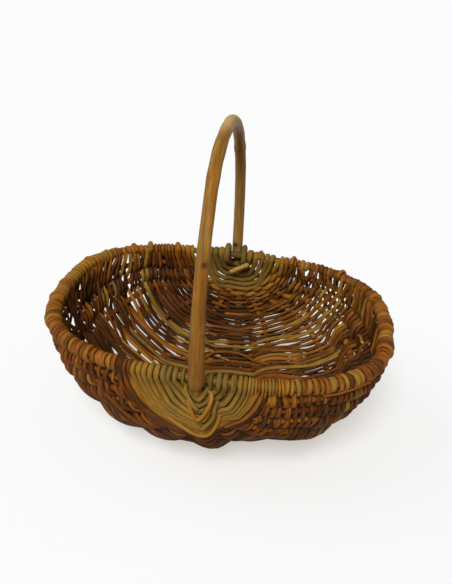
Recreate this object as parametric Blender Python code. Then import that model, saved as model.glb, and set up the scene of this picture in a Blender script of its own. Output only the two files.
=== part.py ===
# Mushroom foraging basket: a frame basket of two hoops, ten ribs, two ear lashings and a woven bowl.
#
# X runs along the rim's long axis, Y along the handle from the near ear to the far ear, Z up.
# The ground is at Z = 0, and the origin is under the middle of the basket's box.
import math

import bmesh
import bpy
import numpy as np

# The two hoops, in metres. Lengths of hoops are between the centrelines of their sticks.
RIM_LENGTH = 0.390
RIM_WIDTH = 0.297
RIM_STICK = 0.0095
RIM_TO_GROUND = 0.149
HANDLE_RISE = 0.217
HANDLE_STICK = 0.0136
HANDLE_NEAR_FOOT = 0.0174
HANDLE_FAR_FOOT = 0.0142
HANDLE_FOOT_RISE = 0.110
HANDLE_LEAN = 0.0076
KEEL_STICK = 0.011
KEEL_SHIFT = 0.0162
BOTTOM_FLAT_RUN = 0.045

# The ribs and the woven bands.
RIB_STICK = 0.0075
RIB_TIP = 0.0050
BAND_THICKNESS = 0.0030
BAND_GAP = 0.0015
BAND_COUNT = 24

# The ear lashings, measured from where the two hoops cross.
EAR_START_ALONG_RIM = 0.0115
EAR_REACH_DOWN_KEEL = 0.050
EAR_TO_RIB_GAP = 0.0006
EAR_WRAPS = 3
EAR_SHOULDER_POCKET = 0.0045

CLEARANCE = 0.0003

# Powers of the superellipses: 2 is an ellipse, and more is squarer.
RIM_POWER = 2.7
HANDLE_POWER = 2.57
KEEL_POWER = 2.1

# Each rib halfway between the ears: how far out it lies, as a share of the rim's half-length,
# and how far down, as a share of the keel's drop. From the rim to the keel.
LEFT_RIB_OUT_SHARES = (0.975, 0.925, 0.848, 0.607, 0.273)
LEFT_RIB_DROP_SHARES = (0.19, 0.37, 0.546, 0.872)
RIGHT_RIB_OUT_SHARES = (0.980, 0.935, 0.863, 0.729, 0.341)
RIGHT_RIB_DROP_SHARES = (0.18, 0.345, 0.51, 0.743, 0.867)

# Share of a stick's radius that a band lies flat on, on each side of the stick's top.
CONTACT_SHARE = 0.8
# Share of the way between the ears after which the ribs have spread to their places, at full thickness.
SPREAD_SHARE = 0.24
# The bowl widens from the rim's width to the handle hoop's with this power of its steepness.
WIDENING_POWER = 3

HOOP_SIDES = 12
RIB_SIDES = 6
HANDLE_RINGS = 26
CURVE_SAMPLES = 721
WRAP_STEP = math.pi / 4
SMOOTH_ANGLE = math.radians(50)

RIM_HALF_LENGTH = RIM_LENGTH / 2
RIM_HALF_WIDTH = RIM_WIDTH / 2
RIM_RADIUS = RIM_STICK / 2
KEEL_RADIUS = KEEL_STICK / 2
HANDLE_RADIUS = HANDLE_STICK / 2
NEAR_FOOT_RADIUS = HANDLE_NEAR_FOOT / 2
FAR_FOOT_RADIUS = HANDLE_FAR_FOOT / 2
# The handle's hoop passes outside the rim's, and its centreline stands this far from the middle.
HOOP_NEAR_REACH = RIM_HALF_WIDTH + RIM_RADIUS + CLEARANCE + NEAR_FOOT_RADIUS
HOOP_FAR_REACH = RIM_HALF_WIDTH + RIM_RADIUS + CLEARANCE + FAR_FOOT_RADIUS
# The keel and the lowest rib each have one band between them and the ground.
KEEL_DROP = RIM_TO_GROUND - BAND_THICKNESS - CLEARANCE - KEEL_RADIUS
LOW_RIB_DROP = RIM_TO_GROUND - BAND_THICKNESS - CLEARANCE - RIB_STICK / 2
# A wrap is an octagon round a stick, and this is its corner's radius over its side's.
WRAP_CORNER = 1 / math.cos(WRAP_STEP / 2)

LEFT_RIBS = len(LEFT_RIB_OUT_SHARES)
RIGHT_RIBS = len(RIGHT_RIB_OUT_SHARES)
KEEL = LEFT_RIBS + 1
RIGHT_RIM = KEEL + RIGHT_RIBS + 1
LOW_RIB = KEEL - 1


def unit(vectors):
    return vectors / np.linalg.norm(vectors, axis=-1, keepdims=True)


def section_corners():
    """Polar angle and reach of each stick halfway between the ears, seen along Y, from left to right."""
    left_drops = [share * KEEL_DROP for share in LEFT_RIB_DROP_SHARES] + [LOW_RIB_DROP]
    right_drops = [share * KEEL_DROP for share in RIGHT_RIB_DROP_SHARES]
    left_outs = [-share * RIM_HALF_LENGTH for share in LEFT_RIB_OUT_SHARES]
    right_outs = [share * RIM_HALF_LENGTH for share in RIGHT_RIB_OUT_SHARES]
    outs = np.array([-RIM_HALF_LENGTH] + left_outs + [KEEL_SHIFT] + right_outs[::-1] + [RIM_HALF_LENGTH])
    drops = np.array([0.0] + left_drops + [KEEL_DROP] + right_drops[::-1] + [0.0])
    return np.arctan2(drops, outs), np.hypot(drops, outs)


SECTION_ANGLES, SECTION_REACHES = section_corners()


def bowl_line(angle):
    """The line over the bowl from the near ear to the far ear that lies at a polar angle, and its length."""
    steepness = math.sin(angle) ** 2
    power = KEEL_POWER + (RIM_POWER - KEEL_POWER) * (1 - steepness)
    reach = np.interp(-angle, -SECTION_ANGLES, SECTION_REACHES)
    turn = np.linspace(-math.pi / 2, math.pi / 2, CURVE_SAMPLES)
    hoop_reach = np.where(turn < 0, HOOP_NEAR_REACH, HOOP_FAR_REACH)
    half_width = RIM_HALF_WIDTH + (hoop_reach - RIM_HALF_WIDTH) * steepness**WIDENING_POWER
    flat = BOTTOM_FLAT_RUN / 2 * steepness
    y = half_width * np.sin(turn)
    rise = np.clip((np.abs(y) - flat) / (half_width - flat), 0, 1)
    fullness = (1 - rise**power) ** (1 / power)
    points = np.stack([reach * math.cos(angle) * fullness, y, -reach * math.sin(angle) * fullness], axis=1)
    lengths = np.concatenate([[0.0], np.cumsum(np.linalg.norm(np.diff(points, axis=0), axis=1))])
    return points, lengths


def bowl_point(angle, share):
    """The point that lies a share of the way along the bowl's line at an angle."""
    points, lengths = bowl_line(angle)
    return np.array([np.interp(share * lengths[-1], lengths, points[:, axis]) for axis in range(3)])


def edge_shares():
    """Shares of the way from ear to ear at which one wrap or band ends and the next begins."""
    keel_length = bowl_line(SECTION_ANGLES[KEEL])[1][-1]
    start = EAR_START_ALONG_RIM / bowl_line(0)[1][-1]
    ear_end = EAR_REACH_DOWN_KEEL / keel_length
    band_start = (EAR_REACH_DOWN_KEEL + EAR_TO_RIB_GAP) / keel_length
    ear = np.linspace(start, ear_end, EAR_WRAPS + 1)
    bands = np.linspace(band_start, 1 - band_start, BAND_COUNT + 1)
    return np.concatenate([ear, bands, 1 - ear[::-1]])


EDGES = edge_shares()
FIRST_BAND_EDGE = EAR_WRAPS + 1
LAST_BAND_EDGE = FIRST_BAND_EDGE + BAND_COUNT


def spread(share):
    """0 at an ear, where the ribs fan out evenly, to 1 where they lie at their own angles."""
    from_ear = min(share, 1 - share)
    ear = EDGES[FIRST_BAND_EDGE]
    rise = min(max((from_ear - ear) / (SPREAD_SHARE - ear), 0), 1)
    return rise * rise * (3 - 2 * rise)


def line_angle(line, share):
    """Polar angle of a line at a share of the way: evenly fanned on each side of the keel near the ears."""
    keel = SECTION_ANGLES[KEEL]
    if line < KEEL:
        even = math.pi + (keel - math.pi) * line / KEEL
    else:
        even = keel * (RIGHT_RIM - line) / (RIGHT_RIM - KEEL)
    return even + (SECTION_ANGLES[line] - even) * spread(share)


def lattice():
    """Every crossing of a line with an edge, with the directions along the line, outward and across."""
    points = np.array([[bowl_point(line_angle(line, share), share) for share in EDGES]
                       for line in range(RIGHT_RIM + 1)])
    along = unit(np.gradient(points, axis=1))
    across = np.gradient(points, axis=0)
    across[KEEL] = (1, 0, 0)
    across[LOW_RIB] = (1, 0, 0)
    outward = unit(np.cross(along, across))
    return points, along, outward, np.cross(outward, along)


POINTS, ALONG, OUTWARD, ACROSS = lattice()


def rib_radius(edge):
    """A rib swells from its tips to its middle."""
    ear = EDGES[FIRST_BAND_EDGE]
    from_tip = (min(EDGES[edge], 1 - EDGES[edge]) - ear) / (SPREAD_SHARE - ear)
    return (RIB_TIP + (RIB_STICK - RIB_TIP) * min(from_tip, 1)) / 2


def hoop_radius(edge):
    """The keel is thinner than the handle, and swells to the handle's foot inside each ear."""
    share = EDGES[edge]
    from_ear = min(share, 1 - share)
    foot = NEAR_FOOT_RADIUS if share < 1 - share else FAR_FOOT_RADIUS
    return foot + (KEEL_RADIUS - foot) * min(from_ear / EDGES[FIRST_BAND_EDGE], 1)


def line_radius(line, edge):
    return hoop_radius(edge) if line == KEEL else rib_radius(edge)


def stand(points):
    """Moves points measured from the middle of the rim to their height above the ground."""
    return points + np.array([0, 0, RIM_TO_GROUND])


def flat_crossing(line, edge, side):
    """Two stations of a band that lies flat on a stick, outside it for side 1 and inside for side -1."""
    radius = line_radius(line, edge)
    middle = side * (radius + CLEARANCE + BAND_THICKNESS / 2)
    inner_and_outer = (middle - BAND_THICKNESS / 2, middle + BAND_THICKNESS / 2)
    stations = []
    for way in (-1, 1):
        foot = POINTS[line, edge] + way * CONTACT_SHARE * radius * ACROSS[line, edge]
        stations.append([foot + distance * OUTWARD[line, edge] for distance in inner_and_outer])
    return stations


def wrap_stations(centre, outward, away, radius, steps, side):
    """Stations round a stick, at eighths of a turn counted from outward towards away."""
    inner = (radius + CLEARANCE) * WRAP_CORNER
    outer = inner + BAND_THICKNESS
    radii = (inner, outer) if side > 0 else (outer, inner)
    stations = []
    for step in steps:
        direction = math.cos(step * WRAP_STEP) * outward + math.sin(step * WRAP_STEP) * away
        stations.append([centre + distance * direction for distance in radii])
    return stations


def rim_wrap(line, edge, steps, side):
    away = -ACROSS[line, edge] if line == 0 else ACROSS[line, edge]
    return wrap_stations(POINTS[line, edge], OUTWARD[line, edge], away, RIM_RADIUS, steps, side)


def keel_wrap(edge, steps, side):
    radius = hoop_radius(edge)
    return wrap_stations(POINTS[KEEL, edge], OUTWARD[KEEL, edge], ACROSS[KEEL, edge], radius, steps, side)


# From under the rim outside, over its top, to under it inside.
RIM_STEPS = tuple(range(-1, 6))


def band_row(edge, band):
    """All stations of one band at one edge, from its tail on the left rim to its tail on the right rim."""
    sides = [1 if (line + band) % 2 else -1 for line in range(RIGHT_RIM + 1)]
    left = RIM_STEPS[::-1] if sides[0] > 0 else RIM_STEPS
    right = RIM_STEPS if sides[-1] > 0 else RIM_STEPS[::-1]
    row = rim_wrap(0, edge, left, sides[0])
    for line in range(1, RIGHT_RIM):
        row += flat_crossing(line, edge, sides[line])
    return np.array(row + rim_wrap(RIGHT_RIM, edge, right, sides[-1]))


def shoulder(line, edge, side, before, after):
    """One station of an ear wrap between the keel and the rim, swollen round the pocket for the rib tips.

    On the innermost edge there is no room for a pocket, and the station lies midway between its neighbours.
    """
    if edge in (0, len(EDGES) - 1):
        return [[(first + second) / 2 for first, second in zip(before, after)]]
    near = side * EAR_SHOULDER_POCKET
    far = side * (EAR_SHOULDER_POCKET + BAND_THICKNESS)
    return [[POINTS[line, edge] + distance * OUTWARD[line, edge] for distance in (near, far)]]


def ear_row(edge):
    """Stations of an ear wrap at one edge: under the keel, over the right rim, inside, over the left rim."""
    left = KEEL // 2
    right = RIGHT_RIM - left
    keel_outside = keel_wrap(edge, range(-2, 3), 1)
    over_right = rim_wrap(RIGHT_RIM, edge, RIM_STEPS, 1)
    keel_inside = keel_wrap(edge, range(3, 6), 1)
    over_left = rim_wrap(0, edge, RIM_STEPS[::-1], 1)
    return np.array(
        keel_outside + shoulder(right, edge, 1, keel_outside[-1], over_right[0])
        + over_right + shoulder(right, edge, -1, over_right[-1], keel_inside[0])
        + keel_inside + shoulder(left, edge, -1, keel_inside[-1], over_left[0])
        + over_left + shoulder(left, edge, 1, over_left[-1], keel_outside[0]))


def inset_rows(first, second, pitch):
    """Two rows drawn together, so that neighbouring bands keep a gap."""
    inset = BAND_GAP / 2 / pitch
    return first + (second - first) * inset, second + (first - second) * inset


def keel_pitch(edge):
    return np.linalg.norm(POINTS[KEEL, edge + 1] - POINTS[KEEL, edge])


def strip_faces(count, closed):
    """Faces of a strip whose stations have four corners each, with ends where it isn't closed.

    A strip twists, so each of its sides is two triangles. On both narrow sides they meet along the line
    from an inner corner to the next outer corner, and so the facing sides of neighbours match.
    """
    faces = []
    for station in range(count if closed else count - 1):
        here = 4 * station
        there = 4 * ((station + 1) % count)
        for corner, after in ((0, 1), (1, 2), (3, 2), (0, 3)):
            first = (here + corner, here + after, there + after)
            second = (here + corner, there + after, there + corner)
            if corner == 3 or after == 3:
                first, second = first[::-1], second[::-1]
            faces += [first, second]
    if not closed:
        faces.append((3, 2, 1, 0))
        faces.append(tuple(4 * (count - 1) + corner for corner in range(4)))
    return faces


def strip_mesh(first, second, closed):
    corners = np.stack([first[:, 0], first[:, 1], second[:, 1], second[:, 0]], axis=1)
    return corners.reshape(-1, 3), strip_faces(len(first), closed)


def tube_mesh(centres, outward, across, radii, sides, closed):
    """A stick along its centres, with a corner of each ring pointing outward."""
    turns = np.arange(sides) * 2 * math.pi / sides
    rings = centres[:, None] + np.asarray(radii)[:, None, None] * (
        np.cos(turns)[None, :, None] * outward[:, None] + np.sin(turns)[None, :, None] * across[:, None])
    count = len(centres)
    faces = []
    for ring in range(count if closed else count - 1):
        following = (ring + 1) % count
        for side in range(sides):
            after = (side + 1) % sides
            faces.append((ring * sides + side, ring * sides + after,
                          following * sides + after, following * sides + side))
    if not closed:
        faces.append(tuple(range(sides))[::-1])
        faces.append(tuple((count - 1) * sides + side for side in range(sides)))
    return rings.reshape(-1, 3), faces


def clear_scene():
    for thing in list(bpy.data.objects):
        bpy.data.objects.remove(thing, do_unlink=True)


def make_material(name, colour, roughness):
    material = bpy.data.materials.new(name)
    material.use_nodes = True
    shader = material.node_tree.nodes["Principled BSDF"]
    shader.inputs["Base Color"].default_value = (*colour, 1)
    shader.inputs["Roughness"].default_value = roughness
    shader.inputs["Metallic"].default_value = 0
    material.diffuse_color = (*colour, 1)
    return material


def add_piece(name, vertices, faces, material, basket):
    """Makes one named solid with its origin at its own middle, under the basket's empty."""
    vertices = stand(vertices)
    middle = (vertices.min(axis=0) + vertices.max(axis=0)) / 2
    mesh = bpy.data.meshes.new(name)
    mesh.from_pydata((vertices - middle).tolist(), [], faces)
    shape = bmesh.new()
    shape.from_mesh(mesh)
    bmesh.ops.recalc_face_normals(shape, faces=shape.faces)
    shape.to_mesh(mesh)
    shape.free()
    mesh.shade_smooth()
    mesh.set_sharp_from_angle(angle=SMOOTH_ANGLE)
    mesh.materials.append(material)
    piece = bpy.data.objects.new(name, mesh)
    piece.location = middle
    piece.parent = basket
    bpy.context.scene.collection.objects.link(piece)
    return vertices.min(axis=0), vertices.max(axis=0)


def handle_arch():
    """Centres and radii of the handle above the rim, from the far ear over the top to the near ear."""
    turn = np.linspace(0, math.pi, HANDLE_RINGS + 2)[1:-1]
    far_side = turn < math.pi / 2
    reach = np.where(far_side, HOOP_FAR_REACH, HOOP_NEAR_REACH)
    foot = np.where(far_side, FAR_FOOT_RADIUS, NEAR_FOOT_RADIUS)
    power = 2 / HANDLE_POWER
    y = reach * np.sign(np.cos(turn)) * np.abs(np.cos(turn)) ** power
    z = HANDLE_RISE * np.sin(turn) ** power
    x = -HANDLE_LEAN * z / HANDLE_RISE
    swelling = np.clip(1 - z / HANDLE_FOOT_RISE, 0, 1)
    return np.stack([x, y, z], axis=1), HANDLE_RADIUS + (foot - HANDLE_RADIUS) * swelling


def handle_hoop_mesh():
    """The handle and the keel are one bent stick, closed into a hoop."""
    near_foot = np.array([0, -HOOP_NEAR_REACH, 0])
    far_foot = np.array([0, HOOP_FAR_REACH, 0])
    arch, arch_radii = handle_arch()
    keel_radii = [hoop_radius(edge) for edge in range(len(EDGES))]
    centres = np.vstack([near_foot, POINTS[KEEL], far_foot, arch])
    radii = np.concatenate([[NEAR_FOOT_RADIUS], keel_radii, [FAR_FOOT_RADIUS], arch_radii])
    along = unit(np.roll(centres, -1, axis=0) - np.roll(centres, 1, axis=0))
    along[1:1 + len(EDGES)] = ALONG[KEEL]
    outward = unit(np.cross(along, (1, 0, 0)))
    return tube_mesh(centres, outward, np.cross(outward, along), radii, HOOP_SIDES, True)


def rim_hoop_mesh():
    near_foot = np.array([0, -RIM_HALF_WIDTH, 0])
    far_foot = np.array([0, RIM_HALF_WIDTH, 0])
    centres = np.vstack([near_foot, POINTS[RIGHT_RIM], far_foot, POINTS[0][::-1]])
    along = unit(np.roll(centres, -1, axis=0) - np.roll(centres, 1, axis=0))
    along[1:1 + len(EDGES)] = ALONG[RIGHT_RIM]
    along[2 + len(EDGES):] = -ALONG[0][::-1]
    outward = unit(np.cross(along, (0, 0, 1)))
    radii = np.full(len(centres), RIM_RADIUS)
    return tube_mesh(centres, outward, np.cross(outward, along), radii, HOOP_SIDES, True)


def rib_mesh(line):
    """A rib from the far edge of one ear to that of the other, thinner at its tips."""
    edges = slice(FIRST_BAND_EDGE, LAST_BAND_EDGE + 1)
    radii = [rib_radius(edge) for edge in range(FIRST_BAND_EDGE, LAST_BAND_EDGE + 1)]
    return tube_mesh(POINTS[line, edges], OUTWARD[line, edges], ACROSS[line, edges], radii, RIB_SIDES, False)


def band_mesh(band):
    edge = FIRST_BAND_EDGE + band
    first, second = inset_rows(band_row(edge, band), band_row(edge + 1, band), keel_pitch(edge))
    return strip_mesh(first, second, False)


def ear_wrap_mesh(wrap, far):
    edge = len(EDGES) - 2 - wrap if far else wrap
    return strip_mesh(*inset_rows(ear_row(edge), ear_row(edge + 1), keel_pitch(edge)), True)


def build_basket():
    clear_scene()
    handle_wood = make_material("handle_wood", (0.36, 0.19, 0.065), 0.55)
    rim_wood = make_material("rim_wood", (0.17, 0.10, 0.04), 0.65)
    rib_willow = make_material("rib_willow", (0.20, 0.10, 0.035), 0.6)
    ear_willow = make_material("ear_willow", (0.24, 0.17, 0.06), 0.6)
    band_willow = make_material("band_willow", (0.22, 0.095, 0.025), 0.6)
    red_band_willow = make_material("red_band_willow", (0.16, 0.055, 0.018), 0.6)

    basket = bpy.data.objects.new("basket", None)
    bpy.context.scene.collection.objects.link(basket)
    boxes = [
        add_piece("handle_hoop", *handle_hoop_mesh(), handle_wood, basket),
        add_piece("rim_hoop", *rim_hoop_mesh(), rim_wood, basket),
    ]
    for rib in range(1, LEFT_RIBS + 1):
        boxes.append(add_piece(f"rib_left_{rib}", *rib_mesh(rib), rib_willow, basket))
    for rib in range(1, RIGHT_RIBS + 1):
        boxes.append(add_piece(f"rib_right_{rib}", *rib_mesh(RIGHT_RIM - rib), rib_willow, basket))
    for wrap in range(EAR_WRAPS):
        boxes.append(add_piece(f"near_ear_wrap_{wrap + 1}", *ear_wrap_mesh(wrap, False), ear_willow, basket))
        boxes.append(add_piece(f"far_ear_wrap_{wrap + 1}", *ear_wrap_mesh(wrap, True), ear_willow, basket))
    for band in range(BAND_COUNT):
        willow = red_band_willow if band % 3 == 1 else band_willow
        boxes.append(add_piece(f"weave_band_{band + 1:02d}", *band_mesh(band), willow, basket))

    lowest = np.min([box[0] for box in boxes], axis=0)
    highest = np.max([box[1] for box in boxes], axis=0)
    middle = (lowest + highest) / 2
    basket.location = (-middle[0], -middle[1], 0)


build_basket()
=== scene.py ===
# Looks of the foraging basket: every willow rod, rib and hoop as its own bark-covered stick.
#
# The lattice of lines (rims, ribs, keel) repeats the CAD model's, and the rods are laid on it one by one.
# A share is a part of a line's length from the near ear to the far ear, and q is the same for the courses.
import math

import bpy
import numpy as np
from mathutils import Matrix, Vector


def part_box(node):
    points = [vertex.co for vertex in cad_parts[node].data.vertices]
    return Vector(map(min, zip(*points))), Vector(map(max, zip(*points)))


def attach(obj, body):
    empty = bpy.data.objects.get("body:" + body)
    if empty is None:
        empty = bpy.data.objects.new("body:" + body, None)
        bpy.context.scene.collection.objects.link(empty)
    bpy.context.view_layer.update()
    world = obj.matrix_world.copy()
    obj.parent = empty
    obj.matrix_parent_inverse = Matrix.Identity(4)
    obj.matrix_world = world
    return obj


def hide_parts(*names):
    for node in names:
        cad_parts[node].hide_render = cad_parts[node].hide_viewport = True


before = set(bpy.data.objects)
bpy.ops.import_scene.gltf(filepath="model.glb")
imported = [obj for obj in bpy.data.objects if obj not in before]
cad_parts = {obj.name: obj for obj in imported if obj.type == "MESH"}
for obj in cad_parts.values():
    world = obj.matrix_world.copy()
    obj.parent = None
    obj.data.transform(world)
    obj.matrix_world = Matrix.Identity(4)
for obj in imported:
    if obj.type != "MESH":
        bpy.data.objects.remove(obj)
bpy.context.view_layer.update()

SEED = 5
MM = 0.001

# The CAD model's sizes, in metres.
RIM_LENGTH = 0.390
RIM_WIDTH = 0.297
RIM_TO_GROUND = 0.149
HANDLE_RISE = 0.217
KEEL_STICK = 0.011
KEEL_SHIFT = 0.0162
BOTTOM_FLAT_RUN = 0.045
BAND_THICKNESS = 0.0030
BAND_COUNT = 24
RIB_STICK = 0.0075
EAR_REACH_DOWN_KEEL = 0.050
EAR_TO_RIB_GAP = 0.0006
HOOP_NEAR_REACH = 0.16225
HOOP_FAR_REACH = 0.16065
CLEARANCE = 0.0003
RIM_POWER = 2.7
HANDLE_POWER = 2.57
KEEL_POWER = 2.1
LEFT_RIB_OUT_SHARES = (0.975, 0.925, 0.848, 0.607, 0.273)
LEFT_RIB_DROP_SHARES = (0.19, 0.37, 0.546, 0.872)
RIGHT_RIB_OUT_SHARES = (0.980, 0.935, 0.863, 0.729, 0.341)
RIGHT_RIB_DROP_SHARES = (0.18, 0.345, 0.51, 0.743, 0.867)
SPREAD_SHARE = 0.24
WIDENING_POWER = 3

RIM_HALF_LENGTH = RIM_LENGTH / 2
RIM_HALF_WIDTH = RIM_WIDTH / 2
KEEL_DROP = RIM_TO_GROUND - BAND_THICKNESS - CLEARANCE - KEEL_STICK / 2
LOW_RIB_DROP = RIM_TO_GROUND - BAND_THICKNESS - CLEARANCE - RIB_STICK / 2
LEFT_RIM, LOW_RIB, KEEL, RIGHT_RIM = 0, 5, 6, 12
RIMS = (LEFT_RIM, RIGHT_RIM)
LINES = RIGHT_RIM + 1
BOWL_STEPS = 720
TABLE_STEPS = 240

# The sticks as they look: radii in metres, and over what share of a line or length they change.
RIM_NEAR_RADIUS = 0.0047
RIM_FAR_RADIUS = 0.0040
RIM_THINS_FROM = 0.40
RIM_THINS_OVER = 0.35
RIB_RADIUS = 0.0037
RIB_TIP_RADIUS = 0.0010
RIB_TIP_TAPER = 0.08
KEEL_RADIUS = 0.0052
KEEL_SHOULDER_START = 0.001
KEEL_SHOULDER_RUN = 0.008
NEAR_FOOT_RADIUS = 0.0090
FAR_FOOT_RADIUS = 0.0071
HANDLE_RADIUS = 0.0067
FAR_LEG_RADIUS = 0.0070

# How far from the hoops' crossing each ear's wraps reach, along the left and the right rim and the keel.
NEAR_EAR_ENDS = (0.0734, 0.0584)
FAR_EAR_ENDS = (0.0542, 0.0520)
NEAR_KEEL_END = 0.0580
FAR_KEEL_END = 0.0566

rim_low, rim_high = (np.array(corner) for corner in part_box("rim_hoop"))
RIM_MIDDLE = np.array([*((rim_low + rim_high) / 2)[:2], RIM_TO_GROUND])
RIGHTWARD = np.array([1.0, 0.0, 0.0])


# Curves and random waves


def unit(vectors):
    return vectors / np.maximum(np.linalg.norm(vectors, axis=-1, keepdims=True), 1e-12)


def smooth(value):
    value = np.clip(value, 0, 1)
    return value * value * (3 - 2 * value)


def lengths_along(points):
    """How far along a line of points each of them is."""
    return np.concatenate([[0.0], np.cumsum(np.linalg.norm(np.diff(points, axis=0), axis=1))])


def interpolate(places, knots, rows):
    """Rows of numbers at places between the knots where they are known."""
    return np.stack([np.interp(places, knots, column) for column in rows.T], axis=1)


def loop_ways(points):
    """Directions along a closed loop of points."""
    return unit(np.roll(points, -1, axis=0) - np.roll(points, 1, axis=0))


def hermite(start, end, start_way, end_way, t):
    """Places between two points on a curve that leaves and reaches them in the given ways."""
    return ((2 * t**3 - 3 * t**2 + 1) * start + (t**3 - 2 * t**2 + t) * start_way
            + (3 * t**2 - 2 * t**3) * end + (t**3 - t**2) * end_way)


def spline(points, tangents, counts):
    """A smooth curve through points, with a number of steps between each two."""
    rows = []
    for index, count in enumerate(counts):
        start, end = points[index], points[index + 1]
        chord = np.linalg.norm(end - start)
        t = np.linspace(0, 1, count, endpoint=False)[:, None]
        rows.append(hermite(start, end, tangents[index] * chord, tangents[index + 1] * chord, t))
    return np.vstack([*rows, points[-1:]])


def wander(rng, places, step, size=1.0):
    """A smooth random curve over places, with about one swing in each step."""
    places = np.asarray(places, float)
    knots = int(np.ceil((places.max() - places.min()) / step)) + 3
    values = rng.uniform(-1, 1, knots)
    x = (places - places.min()) / step
    low = x.astype(int)
    part = smooth(x - low)
    return size * (values[low] * (1 - part) + values[low + 1] * part)


# The lattice of the bowl


def section_corners():
    """Angles and reaches at which the lines cross the bowl's middle section, from the left to the right."""
    left_outs = [-share for share in LEFT_RIB_OUT_SHARES]
    outs = [-1, *left_outs, KEEL_SHIFT / RIM_HALF_LENGTH, *RIGHT_RIB_OUT_SHARES[::-1], 1]
    drops = [0, *LEFT_RIB_DROP_SHARES, LOW_RIB_DROP / KEEL_DROP, 1, *RIGHT_RIB_DROP_SHARES[::-1], 0]
    outs, drops = RIM_HALF_LENGTH * np.array(outs), KEEL_DROP * np.array(drops)
    return np.arctan2(drops, outs), np.hypot(drops, outs)


SECTION_ANGLES, SECTION_REACHES = section_corners()


def bowl_line(angle):
    """Points on the bowl from ear to ear, where a half plane at this angle cuts it, and their lengths."""
    steepness = math.sin(angle) ** 2
    power = KEEL_POWER + (RIM_POWER - KEEL_POWER) * (1 - steepness)
    reach = np.interp(-angle, -SECTION_ANGLES, SECTION_REACHES)
    turn = np.linspace(-math.pi / 2, math.pi / 2, BOWL_STEPS + 1)
    hoop_reach = np.where(turn < 0, HOOP_NEAR_REACH, HOOP_FAR_REACH)
    half_width = RIM_HALF_WIDTH + (hoop_reach - RIM_HALF_WIDTH) * steepness**WIDENING_POWER
    flat = BOTTOM_FLAT_RUN / 2 * steepness
    y = half_width * np.sin(turn)
    rise = np.clip((np.abs(y) - flat) / (half_width - flat), 0, 1)
    fullness = (1 - rise**power) ** (1 / power)
    points = np.stack([reach * math.cos(angle) * fullness, y, -reach * math.sin(angle) * fullness], axis=1)
    return points, lengths_along(points)


KEEL_LENGTH = bowl_line(SECTION_ANGLES[KEEL])[1][-1]
RIM_RUN = bowl_line(0)[1][-1]
EAR_END = EAR_REACH_DOWN_KEEL / KEEL_LENGTH
WEAVE_START = (EAR_REACH_DOWN_KEEL + EAR_TO_RIB_GAP) / KEEL_LENGTH


def line_angle(line, share):
    """A line's angle: evenly fanned at the ears, and as in the middle section from the spread share on."""
    spread = smooth((min(share, 1 - share) - WEAVE_START) / (SPREAD_SHARE - WEAVE_START))
    keel = SECTION_ANGLES[KEEL]
    if line < KEEL:
        even = math.pi + (keel - math.pi) * line / KEEL
    else:
        even = keel * (RIGHT_RIM - line) / (RIGHT_RIM - KEEL)
    return even + (SECTION_ANGLES[line] - even) * spread


def lattice_tables():
    """Points on all lines, with the directions along them, outward and across."""
    points = np.empty((LINES, TABLE_STEPS + 1, 3))
    for line in range(LINES):
        for step in range(TABLE_STEPS + 1):
            share = step / TABLE_STEPS
            curve, lengths = bowl_line(line_angle(line, share))
            points[line, step] = interpolate([share * lengths[-1]], lengths, curve)[0]
    along = unit(np.gradient(points, axis=1))
    across = np.gradient(points, axis=0)
    across[[KEEL, LOW_RIB]] = RIGHTWARD
    outward = unit(np.cross(along, across))
    return points, outward, np.cross(outward, along)


POINTS, OUTWARD, ACROSS = lattice_tables()
LINE_RUNS = np.linalg.norm(np.diff(POINTS, axis=1), axis=2).sum(axis=1)


def at(table, line, share):
    """A table's row for a line at shares of the way from the near ear to the far ear."""
    place = np.clip(np.asarray(share, float), 0, 1) * TABLE_STEPS
    low = np.minimum(place.astype(int), TABLE_STEPS - 1)
    part = (place - low)[..., None]
    return table[line][low] * (1 - part) + table[line][low + 1] * part


def direction_at(table, line, share):
    return unit(at(table, line, share))


def surface(line, share):
    """A place on the bowl between two lines, and its outward direction."""
    low = min(int(line), RIGHT_RIM - 1)
    part = line - low
    point = at(POINTS, low, share) * (1 - part) + at(POINTS, low + 1, share) * part
    way = direction_at(OUTWARD, low, share) * (1 - part) + direction_at(OUTWARD, low + 1, share) * part
    return point, unit(way)


def rim_radius(share):
    thinned = smooth((np.asarray(share, float) - RIM_THINS_FROM) / RIM_THINS_OVER)
    return RIM_NEAR_RADIUS + (RIM_FAR_RADIUS - RIM_NEAR_RADIUS) * thinned


def rim_arc(line, share, turns, lift, lean):
    """Places round the rim stick and above it, at angles from outward to upward, with radial directions."""
    away = -1 if line == LEFT_RIM else 1
    shares = share + lean * (turns / math.pi - 0.5)
    radial = (np.cos(turns)[:, None] * direction_at(OUTWARD, line, shares)
              + away * np.sin(turns)[:, None] * direction_at(ACROSS, line, shares))
    return at(POINTS, line, shares) + (rim_radius(share) + lift) * radial, radial


def weave_span(line):
    """The shares of a line between which the rods are woven."""
    side = 0 if line < KEEL else 1
    part = (KEEL - abs(line - KEEL)) / KEEL
    near, far = (ends[side] / RIM_RUN * (1 - part) + keel_end / KEEL_LENGTH * part
                 for ends, keel_end in ((NEAR_EAR_ENDS, NEAR_KEEL_END), (FAR_EAR_ENDS, FAR_KEEL_END)))
    return near, 1 - far


def keel_radius(share):
    """The keel swells to the handle's foot at each ear, with a rounded shoulder just below the rim."""
    from_ear = np.minimum(share, 1 - np.asarray(share, float)) * KEEL_LENGTH
    foot = np.where(np.asarray(share) < 0.5, NEAR_FOOT_RADIUS, FAR_FOOT_RADIUS)
    return foot + (KEEL_RADIUS - foot) * smooth((from_ear - KEEL_SHOULDER_START) / KEEL_SHOULDER_RUN)


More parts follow.
